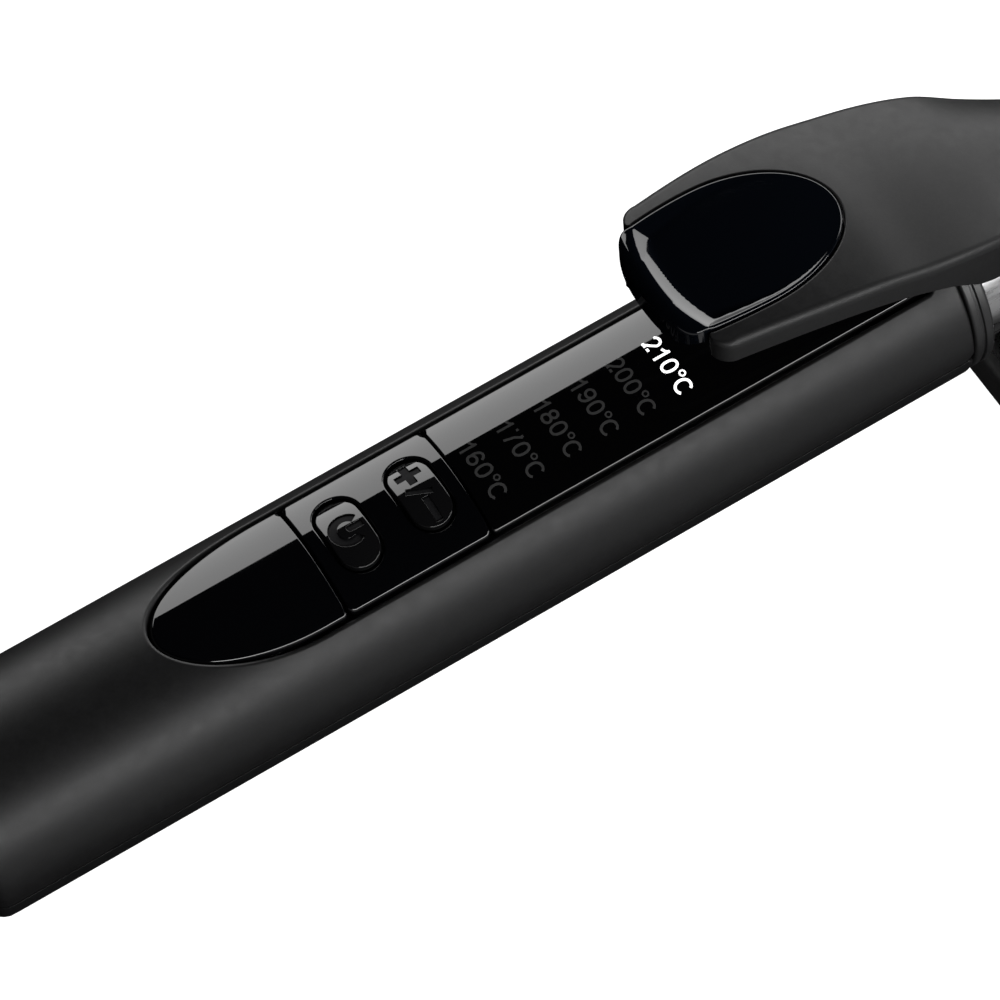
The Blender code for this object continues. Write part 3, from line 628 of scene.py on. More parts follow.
def casing_surface(side, inset=0.0, flip=1.0):
    """The casing by profile length and by arc length from the top (side 1) or from the bottom (side -1)."""

    def surface(t, s):
        x, r, nx, nr = casing_profile(t)
        a = s / HANDLE_R
        x, r = x - nx * inset, r - nr * inset
        return (Vector((x, r * math.sin(a), side * r * math.cos(a))),
                flip * Vector((nx, nr * math.sin(a), side * nr * math.cos(a))))

    return surface


def casing_border(side, seam_z):
    """The outer loop of a half casing: one parting edge, the front, the other edge and the cord hole."""
    seam_r, front_r, hole_r = 0.04, 0.7, 0.4
    front_t = HANDLE_END + SIDE_START
    down = Vector((0.0, 0.0, -side))

    def reach(t):
        """Arc length at which the parting plane meets the casing."""
        return HANDLE_R * math.acos(max(-1.0, min(1.0, side * seam_z / casing_profile(t)[1])))

    def radial(point):
        away = Vector((0.0, point.y, point.z))
        return away.normalized()

    def inward(p):
        """Through the wall: straight on the tail's face, slanting at its round edge, radial on the side."""
        if p.x > TAIL_FILLET:
            return [p - radial(p) * WALL]
        if p.x < 0.5:
            return [p + Vector((WALL, 0.0, 0.0))]
        return [p + (Vector((1.0, 0.0, 0.0)) - radial(p)) * WALL * 0.7]

    ts = [0.5 + 0.5 * i for i in range(20)] + list(np.arange(10.8, front_t - 1.0, 1.2))
    rims = [Rim(t, -reach(t), down, seam_r, inward) for t in ts]
    surface = casing_surface(side)
    wide = reach(front_t)
    for s in np.linspace(-wide + 0.6, wide - 0.6, 60):
        rims.append(Rim(front_t, float(s), Vector((1.0, 0.0, 0.0)), front_r,
                        lambda p: [p - radial(p) * (WALL - front_r)]))
    rims += [Rim(t, reach(t), down, seam_r, inward) for t in reversed(ts)]
    wide = reach(0.0) * 0.985
    for s in np.linspace(wide, -wide, 40):
        out = -radial(surface(0.0, float(s))[0])
        rims.append(Rim(0.0, float(s), out, hole_r, lambda p: [p + Vector((WALL - hole_r, 0.0, 0.0))]))
    return rims


def panel_outline(start, end, grow=0.0, corner=1.0):
    """Plan outline of a stretch of the panel. The first stretch closes in a half-ellipse."""
    half = PANEL_HALF + grow
    if start > PANEL_REAR + 1:
        return rounded_outline([(start, -half, corner), (end, -half, corner), (end, half, corner),
                                (start, half, corner)])
    straight = PANEL_REAR + TRIM_ROUND
    front = rounded_outline([(straight, -half, 0.01), (end, -half, corner), (end, half, corner),
                             (straight, half, 0.01)])
    front = [p for p in front if p[0] > straight + 0.1]
    count = 64
    rear = []
    for i in range(count + 1):
        a = math.pi / 2 + math.pi * i / count
        rear.append((straight + (TRIM_ROUND + grow) * math.cos(a), half * math.sin(a)))
    return front_sorted(front) + rear


def front_sorted(points):
    """The outline's points from its lower rear end round the front to its upper rear end."""
    start = min(range(len(points)), key=lambda i: (points[i][1] >= 0, points[i][0]))
    return points[start:] + points[:start]


def wall_opening(side, outline, radius):
    """The loop of a straight-sided opening through a half casing, from its outline in plan."""

    def foot(p):
        return [Vector((p.x, p.y, side * math.sqrt((HANDLE_R - WALL) ** 2 - p.y**2)))]

    rims = plan_rims(outline, radius, None)
    return [Rim(rim.a + SIDE_START, HANDLE_R * math.asin(rim.b / HANDLE_R), rim.out, radius, foot)
            for rim in rims]


def build_casings():
    pocket = panel_outline(PANEL_REAR, WINDOW_END + GAP, GAP, 0.8)[::-1]
    upper = [casing_border(1, PARTING_Z), wall_opening(1, pocket, 0.55)]
    shell = plate(upper, casing_surface(1), casing_surface(1, WALL, -1.0), 1.5)
    piece("upper_shell", shell, SOFT, "upper_casing")

    lower = [casing_border(-1, PARTING_Z - GAP)]
    for x in SCREW_XS:
        for y in (-SCREW_Y, SCREW_Y):
            lower.append(wall_opening(-1, arc((x, y), SCREW_HEAD_R + GAP, 360, 0, 0.4)[:-1], 0.25))
    shell = plate(lower, casing_surface(-1), casing_surface(-1, WALL, -1.0), 1.5)
    piece("lower_shell", shell, SOFT, "lower_casing")


def crown(x, y):
    """Height of the panel's face."""
    return PANEL_EDGE_Z + math.sqrt(PANEL_CROWN_R**2 - y**2) - math.sqrt(PANEL_CROWN_R**2 - PANEL_HALF**2)


def key_face(x0):
    """Height of a key's domed face."""

    def height(x, y):
        across_dome = math.sqrt(KEY_CROWN_R**2 - (y - KEY_PEAK_Y) ** 2) - KEY_CROWN_R
        return KEY_PEAK + across_dome - KEY_END_FALL * (x - x0) ** 2

    return height


def pill_outline(x, grow):
    half_x, half_y = KEY_HALF_X + grow, KEY_HALF_Y + grow
    straight = half_y - half_x
    low, high = KEY_Y - straight, KEY_Y + straight
    front = line((x + half_x, low), (x + half_x, high))
    back = line((x - half_x, high), (x - half_x, low))
    return arc((x, low), half_x, 180, 360) + front + arc((x, high), half_x, 0, 180) + back


def panel_piece(name, outline, looks, node, holes=()):
    """One piece of the panel, with a finer edge at its seams than along its sides."""

    def radius(x, y):
        return PANEL_FILLET if abs(y) > PANEL_HALF - 1.2 or x < PANEL_REAR + TRIM_ROUND else SEAM_FILLET

    loops = [plan_rims(outline, radius, down_to(PANEL_UNDER))]
    loops += [plan_rims(hole[::-1], 0.28, down_to(PANEL_UNDER)) for hole in holes]
    piece(name, plate(loops, height_field(crown), floor_field(PANEL_UNDER), 0.9), looks, node)


def power_symbol(x):
    """A ring open towards the tip, and a bar that runs out through the opening."""
    y, outer, inner, start, end = 0.45, 2.75, 1.45, 34.0, 305.0
    ring = arc((x, y), outer, start, end, 0.25) + arc((x, y), inner, end, start, 0.25)
    bar = rounded_outline([(x, y - 0.58, 0.5), (x + 2.45, y - 0.58, 0.15), (x + 2.45, y + 0.58, 0.15),
                           (x, y + 0.58, 0.5)], 0.3)
    return [ring, bar]


def cross_outline(half, arm):
    """Corners of a cross about the origin, from half the width and the reach of its arms."""
    corners = []
    for turn in range(4):
        c, s = round(math.cos(math.pi / 2 * turn)), round(math.sin(math.pi / 2 * turn))
        for px, py in ((-half, -arm), (half, -arm), (half, -half)):
            corners.append((c * px - s * py, s * px + c * py))
    return corners


def rocker_symbols(x):
    """A plus, a slash and a minus."""
    arm, half, y = 1.95, 0.62, 3.65
    cross = [(x + px, y + py) for px, py in cross_outline(half, arm)]
    plus = [p for a, b in zip(cross, cross[1:] + cross[:1]) for p in [a] + line(a, b, 0.3)]
    lean = Matrix.Rotation(math.radians(-26), 2)
    corners = [lean @ Vector(c) for c in ((-1.9, -0.5), (1.9, -0.5), (1.9, 0.5), (-1.9, 0.5))]
    slash = rounded_outline([(x - 0.1 + c.x, 0.2 + c.y, 0.1) for c in corners], 0.3)
    minus = rounded_outline([(x - 0.4, -5.2, 0.1), (x + 0.65, -5.2, 0.1), (x + 0.65, -1.1, 0.1),
                             (x - 0.4, -1.1, 0.1)], 0.3)
    return [plus, slash, minus]


def build_key(name, node, x, symbols):
    """A domed key with its symbols sunk into it."""
    face = key_face(x)
    under = floor_field(KEY_UNDER)
    foot = down_to(KEY_UNDER)
    loops = [plan_rims(pill_outline(x, 0.0), KEY_EDGE, foot)]
    loops += [plan_rims(symbol[::-1], 0.07, foot) for symbol in symbols]
    piece(name, plate(loops, height_field(face), under, 0.45), KEY_GLOSS, node)

    inlays = Skin()
    floor_z = KEY_UNDER + 0.5
    sunk = height_field(lambda px, py: face(px, py) - SYMBOL_DEPTH)
    for symbol in symbols:
        rims = plan_rims(symbol, 0.03, down_to(floor_z))
        inlays.joined(plate([rims], sunk, floor_field(floor_z), 0.4))
    rider(name + "_symbols", inlays, INK, node)


def build_panel():
    piece_outline = panel_outline(PANEL_REAR, TRIM_END, 0.0, 0.6)
    panel_piece("rear_trim", piece_outline, GLOSS, "rear_trim_panel")
    holes = [pill_outline(x, KEY_PLAY) for x in (POWER_X, ROCKER_X)]
    panel_piece("key_bezel", panel_outline(KEYS_START, KEYS_END), GLOSS, "key_panel", holes)
    panel_piece("label_window", panel_outline(WINDOW_START, WINDOW_END, 0.0, 0.5), GLASS, "display_window")
    build_key("power_cap", "power_key", POWER_X, power_symbol(POWER_X))
    build_key("plus_minus_cap", "plus_minus_key", ROCKER_X, rocker_symbols(ROCKER_X))


def oval(x, y, half_x, half_y, start=0, end=360, square=2.0):
    """Points round an oval, or part of one, in the units of a glyph."""
    points = []
    count = max(8, round(abs(end - start) / 10))
    for i in range(count + 1):
        a = math.radians(start + (end - start) * i / count)
        c, n = math.cos(a), math.sin(a)
        points.append((x + half_x * math.copysign(abs(c) ** (2 / square), c),
                       y + half_y * math.copysign(abs(n) ** (2 / square), n)))
    return points


def glyph(letter):
    """A letter as strokes: the middle line of each, in parts of the capitals' height."""
    if letter == "0":
        return [oval(0.0, 0.5, 0.27, 0.42, square=2.3)]
    if letter == "1":
        return [[(0.09, 0.0), (0.09, 0.98)], [(0.11, 0.93), (-0.01, 0.78), (-0.24, 0.68)]]
    if letter == "2":
        return [oval(-0.01, 0.67, 0.27, 0.25, 165, -25) + [(0.05, 0.34), (-0.27, 0.03)],
                [(-0.31, 0.08), (0.31, 0.08)]]
    if letter == "6":
        return [oval(0.0, 0.31, 0.26, 0.235), oval(0.02, 0.52, 0.28, 0.40, 200, 30)]
    if letter == "7":
        return [[(-0.31, 0.91), (0.30, 0.91)], [(0.28, 0.92), (0.05, 0.55), (-0.08, 0.0)]]
    if letter == "8":
        return [oval(0.0, 0.72, 0.22, 0.20), oval(0.0, 0.29, 0.27, 0.22)]
    if letter == "9":
        return [[(-x, 1 - y) for x, y in stroke] for stroke in glyph("6")]
    if letter == "°":
        return [oval(0.0, 0.84, 0.145, 0.145)]
    return [oval(0.02, 0.5, 0.33, 0.42, 42, 318, 2.1)]


def stroke_sides(points, half):
    """The two sides of a stroke of even width along its middle line."""
    closed = math.dist(points[0], points[-1]) < 1e-6
    sides = []
    for i, (x, y) in enumerate(points):
        before = points[i - 1] if i else (points[-2] if closed else None)
        after = points[i + 1] if i + 1 < len(points) else (points[1] if closed else None)
        run = Vector((0.0, 0.0))
        for a, b in ((before, (x, y)), ((x, y), after)):
            if a and b:
                run += (Vector(b) - Vector(a)).normalized()
        run.normalize()
        sides.append(((x - run.y * half, y + run.x * half), (x + run.y * half, y - run.x * half)))
    return sides


def build_label(number, value, looks):
    """A printed temperature, read from the side and laid on the window's crown."""
    base = FIRST_LABEL_X + number * LABEL_PITCH
    surface = height_field(crown)
    skin = Skin()
    for letter, y in zip(f"{value}°C", LETTER_YS):
        slim = STROKE * (DEGREE_SLIM if letter == "°" else 1.0) / 2 / LABEL_TALL
        for layer, stroke in enumerate(glyph(letter)):
            raised = PRINT_RISE + PRINT_STEP * layer
            rails = []
            for pair in stroke_sides(stroke, slim):
                rails.append([surface(base + b * LABEL_TALL, y - a * LABEL_TALL) for a, b in pair])
            for (p, q), (r, s) in zip(rails, rails[1:]):
                skin.face([(c + n * raised, n) for c, n in (p, r, s, q)])
                skin.face([(c - n * PRINT_SINK, -n) for c, n in (q, s, r, p)])
                for a, b, other in ((r, p, q), (q, s, r)):
                    out = (a[0] - other[0]).normalized()
                    top = [(c + n * raised, out) for c, n in (a, b)]
                    skin.face(top + [(c - n * PRINT_SINK, out) for c, n in (b, a)])
    rider(f"label_{value}", skin, looks, "display_window")


def build_labels():
    dim = label_print("label_dim", (0.045, 0.045, 0.045))
    lit = label_print("label_lit", (0.9, 0.9, 0.9), 1.1)
    for number, value in enumerate(LABELS):
        build_label(number, value, lit if value == LIT_LABEL else dim)


def build_screws():
    """Casing screws with a cross in the head, deep in their wells."""
    head_low, cross_low = -1.2, -0.8
    rim = arc((0.0, 0.0), SCREW_HEAD_R, 0, 360, math.tau * SCREW_HEAD_R / 32)[:-1]
    cross = cross_outline(0.28, 1.15)
    shank = [(0.0, 0.0, 0), (0.0, 1.1, 0), (13.5, 1.1, 0.4), (15.0, 0.0, 0)]
    corners = [(x, y) for x in SCREW_XS for y in (-SCREW_Y, SCREW_Y)]
    for number, (x, y) in enumerate(corners, 1):
        loops = [plan_rims(rim, 0.35, down_to(head_low)),
                 plan_rims(cross[::-1], 0.05, down_to(cross_low))]
        head = plate(loops, height_field(lambda a, b: 0.25 - 0.06 * (a * a + b * b)),
                     floor_field(head_low), 0.5)
        skin = head.moved(Matrix.Translation((x, y, SCREW_HEAD_Z)) @ Matrix.Rotation(math.pi, 4, "X"))
        skin.joined(turned(shank, 24).moved(standing(x, y, SCREW_HEAD_Z)))
        piece(f"screw_{number}", skin, STEEL, f"casing_screw_{number}")


# ---- cord inlet ----


def build_gland():
    hole, out = CABLE_HOLE_R, -GLAND_OUT
    neck, collar, throat = 7.2, 9.2, 6.0
    groove_start, groove_end, groove_r = out + 4.2, out + 5.0, 8.2
    inner, step, end = TAIL_FILLET + GAP, 5.4, 13.4
    corners = [(out, hole, 0.6), (out, neck, 1.2), (out + 4.0, 8.6, 0.6), (groove_start, groove_r, 0.2),
               (groove_end, groove_r, 0.2), (out + 5.2, 8.9, 0.4), (-1.4, GLAND_R, 0.5), (-GAP, collar, 0.2),
               (-GAP, neck, 0), (inner, neck, 0), (inner, collar, 0), (step, collar, 0), (step, throat, 0),
               (end, throat, 0), (end, hole, 0)]
    piece("cord_gland", turned(corners, 72), HEAT, "swivel_gland")


# ---- barrel ----


def build_barrel():
    inner = BARREL_R - BARREL_WALL
    tube = [(BARREL_START, inner, 0), (BARREL_START, BARREL_R, 0), (BARREL_END, BARREL_R, 0.3),
            (BARREL_END, inner, 0)]
    piece("barrel_tube", turned(tube, 128), COATED, "barrel")

    bore, tenon, outer, groove = BARREL_R + GAP, 14.0, 16.3, 15.9
    start, face, end = 160.7, HANDLE_END + GAP, 167.8
    collar = [(start, bore, 0), (start, tenon, 0), (face, tenon, 0), (face, outer, 0.5), (165.6, outer, 0.2),
              (165.7, groove, 0.1), (166.1, groove, 0.1), (166.2, outer, 0.2), (end, outer, 0.8),
              (end, bore, 0.2)]
    piece("barrel_collar", turned(collar, 96), HEAT, "front_collar")

    start, outer, groove, screw_r, seat = BARREL_END + GAP, 12.4, 12.0, 1.5, 330.0
    cap = [(start, screw_r, 0), (start, outer, 0.5), (323.0, outer, 0.15), (323.15, groove, 0.1),
           (323.85, groove, 0.1), (324.0, outer, 0.15), (TIP_END, outer, 8.5), (TIP_END, 0.0, 0),
           (seat, 0.0, 0), (seat, screw_r, 0)]
    piece("tip_cap", turned(cap, 96), HEAT, "cool_tip")


def ear_outline(centre, radius, base_z, half_base):
    """Outline in X and Z of an ear with a round end about a hinge."""
    x, z = centre.x, centre.z
    up = base_z < z
    ends = arc((x, z), radius, 0 if up else 180, 180 if up else 360, 0.5)
    base = [(x - half_base, base_z), (x + half_base, base_z)]
    return ends + (base if up else base[::-1])


def build_bracket():
    bore = BARREL_R + GAP
    skin = turned([(SLEEVE_START, bore, 0.1), (SLEEVE_START, SLEEVE_R, 0.3), (SLEEVE_END, SLEEVE_R, 0.3),
                   (SLEEVE_END, bore, 0.1)], 96)
    for centre, radius, base_z, half_base in ((PIVOT, 3.0, 9.5, 3.8), (STAND_HINGE, 2.6, -9.5, 4.0)):
        outline = ear_outline(centre, radius, base_z, half_base)
        for y in (EAR_IN, -EAR_OUT):
            skin.joined(slab(outline, y, y + EAR_OUT - EAR_IN))
    piece("hinge_bracket", skin, STEEL, "barrel_bracket")


def slab(outline, y0, y1, edge=0.25):
    """A flat plate between two planes across Y, from an outline in X and Z, rounded at both faces."""
    skin = Skin()
    count = len(outline)
    rows = []
    centre = sum((Vector(p) for p in outline), Vector((0, 0))) / count
    steps, levels = 3, []
    for k in range(steps + 1):
        a = math.pi / 2 * (1 - k / steps)
        levels.append((y0 + edge * (1 - math.sin(a)), edge * (1 - math.cos(a)), -math.sin(a), math.cos(a)))
    levels += [(y0 + y1 - y, back, -ny, nr) for y, back, ny, nr in reversed(levels)]
    for y, back, ny, nr in levels:
        row = []
        for i in range(count):
            p, before, after = Vector(outline[i]), Vector(outline[i - 1]), Vector(outline[(i + 1) % count])
            way = after - before
            out = Vector((way.y, -way.x)).normalized()
            if out.dot(p - centre) < 0:
                out = -out
            spot = p - out * back
            row.append((Vector((spot.x, y, spot.y)), Vector((out.x * nr, ny, out.y * nr))))
        rows.append(row)
    for first, second in zip(rows, rows[1:]):
        skin.band(first, second)
    for row, facing in ((rows[0], -1.0), (rows[-1], 1.0)):
        skin.face([(p, Vector((0.0, facing, 0.0))) for p, _ in row])
    return skin


def build_pin(name, node, centre, half):
    corners = [(-half, 0.0, 0), (-half, 1.2, 0.4), (half, 1.2, 0.4), (half, 0.0, 0)]
    piece(name, turned(corners, 40).moved(across(centre)), STEEL, node)


# ---- clamp ----

lever_top = smooth_through([(117.0, 35.9), (128.0, 35.8), (136.0, 35.2), (143.0, 34.1), (150.0, 32.4),
                            (157.0, 29.9), (165.0, 27.2), (172.0, 24.6), (180.0, 21.2), (187.0, 18.3),
                            (194.0, 16.2)])
lever_drop = smooth_through([(117.0, 1.6), (150.0, 1.8), (172.0, 2.1), (180.0, 3.8), (194.0, 5.6)])
lever_half = smooth_through([(122.5, 13.5), (138.0, 15.2), (150.0, 15.7), (162.0, 15.5), (172.0, 14.4),
                             (182.0, 12.0), (194.0, 9.0)])
lever_skirt = smooth_through([(122.5, 30.2), (138.0, 28.8), (150.0, 25.6), (160.0, 20.6), (166.0, 15.8),
                              (172.0, 13.6), (178.0, 12.6), (194.0, 9.0)])


def lever_face(x, y):
    """Height of the lever's crowned top."""
    return lever_top(x) - lever_drop(x) * (y / lever_half(x)) ** 2


def barrel_side(x, y):
    """Height at which the lever would touch the sleeve or the clamp's plate, or 0 clear of the barrel."""
    if x < SLEEVE_START - 12:
        return 0.0
    r = (SLEEVE_R if x < PLATE_START - GAP else PLATE_OUT) + GAP
    return math.sqrt(max(0.0, r * r - y * y))


def lever_under(x, y):
    return max(lever_face(x, y) - LEVER_WALL, barrel_side(x, y))


def lever_foot(p):
    """Down the lever's outer wall, across its rim and up its inner wall."""
    low = min(p.z - 0.3, max(lever_skirt(p.x), barrel_side(p.x, p.y)))
    middle_x = min(max(p.x, LEVER_REAR + LEVER_SHOULDER), LEVER_FRONT - LEVER_SHOULDER)
    half = max(0.0, abs(p.y) - LEVER_SHOULDER)
    middle_y = math.copysign(half, p.y)
    rim_z = min(p.z - 0.3, max(low, barrel_side(middle_x, middle_y)))
    roof_z = max(rim_z, lever_under(middle_x, middle_y))
    return [Vector((p.x, p.y, low)), Vector((middle_x, middle_y, rim_z)),
            Vector((middle_x, middle_y, roof_z))]


def insert_half(x, grow=0.0):
    """Half-width of the thumb insert in front of its step."""
    if x > INSERT_WIDEST:
        ahead = min(1.0, (x - INSERT_WIDEST) / (INSERT_FRONT + grow - INSERT_WIDEST))
        return (INSERT_HALF + grow) * math.sqrt(1 - ahead**2)
    back = (INSERT_WIDEST - x) / (INSERT_WIDEST - INSERT_STEP)
    return INSERT_HALF - (INSERT_HALF - INSERT_REAR_HALF) * back**2 + grow


def insert_front(grow, start):
    """The insert's outline in front of a station, from its +Y side round the front to its -Y side."""
    count = 56
    half = [(x, insert_half(x, grow)) for x in np.linspace(start, INSERT_WIDEST, 14)][:-1]
    curve = []
    for i in range(count + 1):
        a = math.pi / 2 - math.pi * i / count
        curve.append((INSERT_WIDEST + (INSERT_FRONT + grow - INSERT_WIDEST) * math.cos(a),
                      (INSERT_HALF + grow) * math.sin(a)))
    return [(float(x), float(y)) for x, y in half + curve + [(x, -y) for x, y in reversed(half)]]


def lever_outline():
    """The lever in plan, with the insert's pocket open at its rear. Returns points with their edge radii."""
    corner, tip = LEVER_CORNER, 2.5
    points = []
    xs = np.arange(LEVER_REAR + corner, LEVER_FRONT - tip, 0.9)
    rear_half, front_half = lever_half(LEVER_REAR + corner), lever_half(LEVER_FRONT - tip)
    sides = [(float(x), -lever_half(float(x)), LEVER_SHOULDER, True) for x in xs]
    front = [(x, y, LEVER_SHOULDER, True) for x, y in
             arc((LEVER_FRONT - tip, -front_half + tip), tip, -90, 0)
             + line((LEVER_FRONT, -front_half + tip), (LEVER_FRONT, front_half - tip))
             + arc((LEVER_FRONT - tip, front_half - tip), tip, 0, 90)]
    points += sides + front + [(x, -y, r, wall) for x, y, r, wall in reversed(sides)]
    pocket_half = insert_half(LEVER_REAR, GAP)
    blunt, slim = 0.6, 0.25
    bend = arc((LEVER_REAR + corner, rear_half - corner), corner, 90, 180, 0.3)
    horn = [(x, y) for x, y in bend if y > pocket_half + blunt]
    thinning = [LEVER_SHOULDER + (slim - LEVER_SHOULDER) * i / (len(horn) - 1) for i in range(len(horn))]
    rear = [(x, y, r, True) for (x, y), r in zip(horn, thinning)]
    x_tip = horn[-1][0] + blunt
    nose = [(x, y, slim, False) for x, y in arc((x_tip, pocket_half + blunt), blunt, 190, 270, 0.12)]
    pocket = [(x, y, 0.3, False) for x, y in insert_front(GAP, x_tip + 0.4)]
    points += rear + nose + pocket
    points += [(x, -y, r, wall) for x, y, r, wall in reversed(rear + nose)]
    return points


def pocket_foot(p):
    low = Vector((p.x, p.y, lever_under(p.x, p.y)))
    return [low, low, low]


def build_lever():
    outline = lever_outline()
    plan = plan_rims([p[:2] for p in outline], 0.3, None)
    rims = [Rim(rim.a, rim.b, rim.out, radius, lever_foot if outer else pocket_foot)
            for (_, _, radius, outer), rim in zip(outline, plan)]
    shell = plate([rims], height_field(lever_face), floor_field(lever_under), 1.1)
    piece("lever_shell", shell, SOFT, "lever_body")


def insert_crest(x, y):
    """How far a place lies in front of the insert's rear crest."""
    return x - CREST_X - CREST_SWEEP * (y / INSERT_REAR_HALF) ** 2


def scoop(run):
    """How far the dish has fallen at a distance in front of the crest."""
    if run < 0:
        return 0.0
    if run < DISH_RUN:
        return SCOOP_STEEP * run - (SCOOP_STEEP - SCOOP_END) / (2 * DISH_RUN) * run**2
    return scoop(DISH_RUN - 1e-6) + SCOOP_END * SCOOP_FADE * (1 - math.exp(-(run - DISH_RUN) / SCOOP_FADE))


def insert_edge(x, y):
    """How far inside the insert's side or front a place lies."""
    if x < INSERT_WIDEST:
        return max(0.0, insert_half(x) - abs(y))
    out = math.hypot((x - INSERT_WIDEST) / (INSERT_FRONT - INSERT_WIDEST), y / INSERT_HALF)
    return max(0.0, INSERT_HALF * (1 - out))


def insert_face(x, y):
    """A round lip, a steep fall in front of a bowed crest, and a floor that rises to a turned-up edge."""
    ahead = insert_crest(x, y)
    run = (ahead + math.sqrt(ahead**2 + CREST_ROUND)) / 2
    left = max(DISH_LEAST, 1 - max(0.0, run - DISH_RUN) / DISH_REACH)
    inner = scoop(run) * left**DISH_RISE
    outer = (EDGE_SLOPE - EDGE_LEAN * y / INSERT_HALF) * insert_edge(x, y)
    dish = (inner + outer - math.hypot(inner - outer, EDGE_BEND)) / 2
    fall = LIP_FALL * max(0.0, -ahead) ** 2
    return lever_top(x) + INSERT_PROUD - 0.5 * lever_drop(x) * (y / INSERT_HALF) ** 2 - dish - fall


def insert_under(x, y):
    if x < INSERT_STEP:
        return LIP_BOTTOM + LIP_LIFT * abs(y / INSERT_REAR_HALF) ** 3
    return lever_face(x, y) - LEVER_WALL


def insert_outline():
    """The insert in plan, with a bowed rear lip. Returns points with their edge radii."""
    bow = 2.3
    front = insert_front(0.0, INSERT_STEP)[::-1]
    points = [(x, y, 0.4) for x, y in front]
    count = 60
    for i in range(1, count):
        a = math.pi / 2 * (1 - 2 * i / count)
        y = INSERT_REAR_HALF * math.copysign(abs(math.sin(a)) ** (2 / bow), a)
        x = INSERT_STEP - (INSERT_STEP - INSERT_REAR) * math.cos(a) ** (2 / bow)
        radius = 0.4 + (LIP_R - 0.4) * (1 - abs(y / INSERT_REAR_HALF) ** 5)
        points.append((x, y, radius))
    return points


def build_insert():
    outline = insert_outline()
    foot = down_to(insert_under)
    plan = plan_rims([p[:2] for p in outline], 0.4, foot)
    rims = [Rim(rim.a, rim.b, rim.out, radius, foot) for (_, _, radius), rim in zip(outline, plan)]
    dish = plate([rims], height_field(insert_face), floor_field(insert_under), 0.33, 8)
    piece("thumb_rest", dish, DISH_GLOSS, "thumb_insert")


def build_clamp_plate():
    """The curved blade that lies along the barrel, with a raised round end."""
    half_angle = smooth_through([(PLATE_START, 38.0), (200.0, 44.0), (296.0, 44.0), (306.0, 38.0),
                                 (311.0, 30.0), (314.5, 18.0), (PLATE_END, 7.0)])
    lift = smooth_through([(PLATE_START, 0.0), (302.0, 0.0), (309.0, 0.5), (PLATE_END, 1.8)])

    def surface(radius, facing):
        def at(x, s):
            a = s / PLATE_OUT
            slope = (lift(x + 0.05) - lift(x - 0.05)) / 0.1
            normal = Vector((-slope * math.cos(a), math.sin(a), math.cos(a))).normalized() * facing
            return Vector((x, radius * math.sin(a), radius * math.cos(a) + lift(x))), normal

        return at

    def inward(p):
        away = Vector((0.0, p.y, p.z - lift(p.x))).normalized()
        return [p - away * (PLATE_OUT - PLATE_IN - 0.3)]

    xs = list(np.arange(PLATE_START, 306.0, 1.2)) + list(np.arange(306.0, PLATE_END, 0.35))
    side = [(float(x), -math.radians(half_angle(float(x))) * PLATE_OUT) for x in xs]
    end = [(PLATE_END, s) for s in np.linspace(side[-1][1] + 0.3, -side[-1][1] - 0.3, 8)]
    outline = side + end + [(x, -s) for x, s in reversed(side)]
    outline += [(PLATE_START, s) for s in np.linspace(-side[0][1], side[0][1], 24)[1:-1]]
    rims = []
    for rim in plan_rims(outline, 0.3, None):
        a = rim.b / PLATE_OUT
        out = Vector((rim.out.x, rim.out.y * math.cos(a), -rim.out.y * math.sin(a)))
        rims.append(Rim(rim.a, rim.b, out, 0.3, inward))
    piece("clamp_blade", plate([rims], surface(PLATE_OUT, 1.0), surface(PLATE_IN, -1.0), 1.3, 3), COATED,
          "clamp_plate")


def build_rivets():
    for name, y in (("clamp_rivet_left", RIVET_Y), ("clamp_rivet_right", -RIVET_Y)):
        top = lever_face(RIVET_X, y)
        corners = [(12.8, 0.0, 0), (12.8, 1.0, 0), (top + 0.05, 1.0, 0), (top + 0.05, 1.7, 0.12),
                   (top + 0.55, 1.35, 0.3), (top + 0.6, 0.0, 0)]
        piece(name + "_head", turned(corners, 40).moved(standing(RIVET_X, y)), STEEL, name)


# ---- stand ----


def stand_frame():
    """The leg's own frame: hinge at the origin, leg down -Z, and the leg's length to the table."""
    tilt = math.asin(IRON_TURN.col[0].z)
    table = IRON.translation.z / MM
    down = (table + FOOT_X * math.sin(tilt)) / math.cos(tilt)
    dx, dz = FOOT_X - STAND_HINGE.x, -down - STAND_HINGE.z
    lean = math.atan2(-dx, -dz)
    place = Matrix.Translation(STAND_HINGE) @ Matrix.Rotation(lean, 4, "Y")
    return place, math.hypot(dx, dz), math.tan(lean - tilt)


def build_stand():
    place, length, slope = stand_frame()
    half, leg_end = LEG_THICK / 2, length - 1.4
    outline = rounded_outline([(-LEG_HALF, -leg_end, 1.0), (LEG_HALF, -leg_end, 1.0), (LEG_HALF, -7.5, 3.0),
                               (LEG_HALF - 2, -3.6, 1.2), (-LEG_HALF + 2, -3.6, 1.2), (-LEG_HALF, -7.5, 3.0)])
    leg = slab([(y, z) for y, z in outline], -half, half)
    leg.moved(Matrix.Rotation(math.pi / 2, 4, "Z"))
    for y in (11.4, -13.2):
        ear = [(x, z) for x, z in arc((0.0, 0.0), 2.3, 0, 180, 0.4)] + [(-2.3, -4.6), (2.3, -4.6)]
        leg.joined(slab(ear, y, y + 1.8))
    piece("stand_blade", leg.moved(place), STEEL, "stand_leg")
    t = FOOT_HALF_THICK
    shape = [(-t, -length - t * slope), (t, -length + t * slope), (t, -length + FOOT_TALL),
             (-t, -length + FOOT_TALL)]
    shape = rounded_outline([(x, z, 0.9) for x, z in shape], 0.5)
    piece("stand_pad", slab(shape, -FOOT_HALF, FOOT_HALF, 0.8).moved(place), RUBBER, "stand_foot")


# ---- light, floor and camera ----


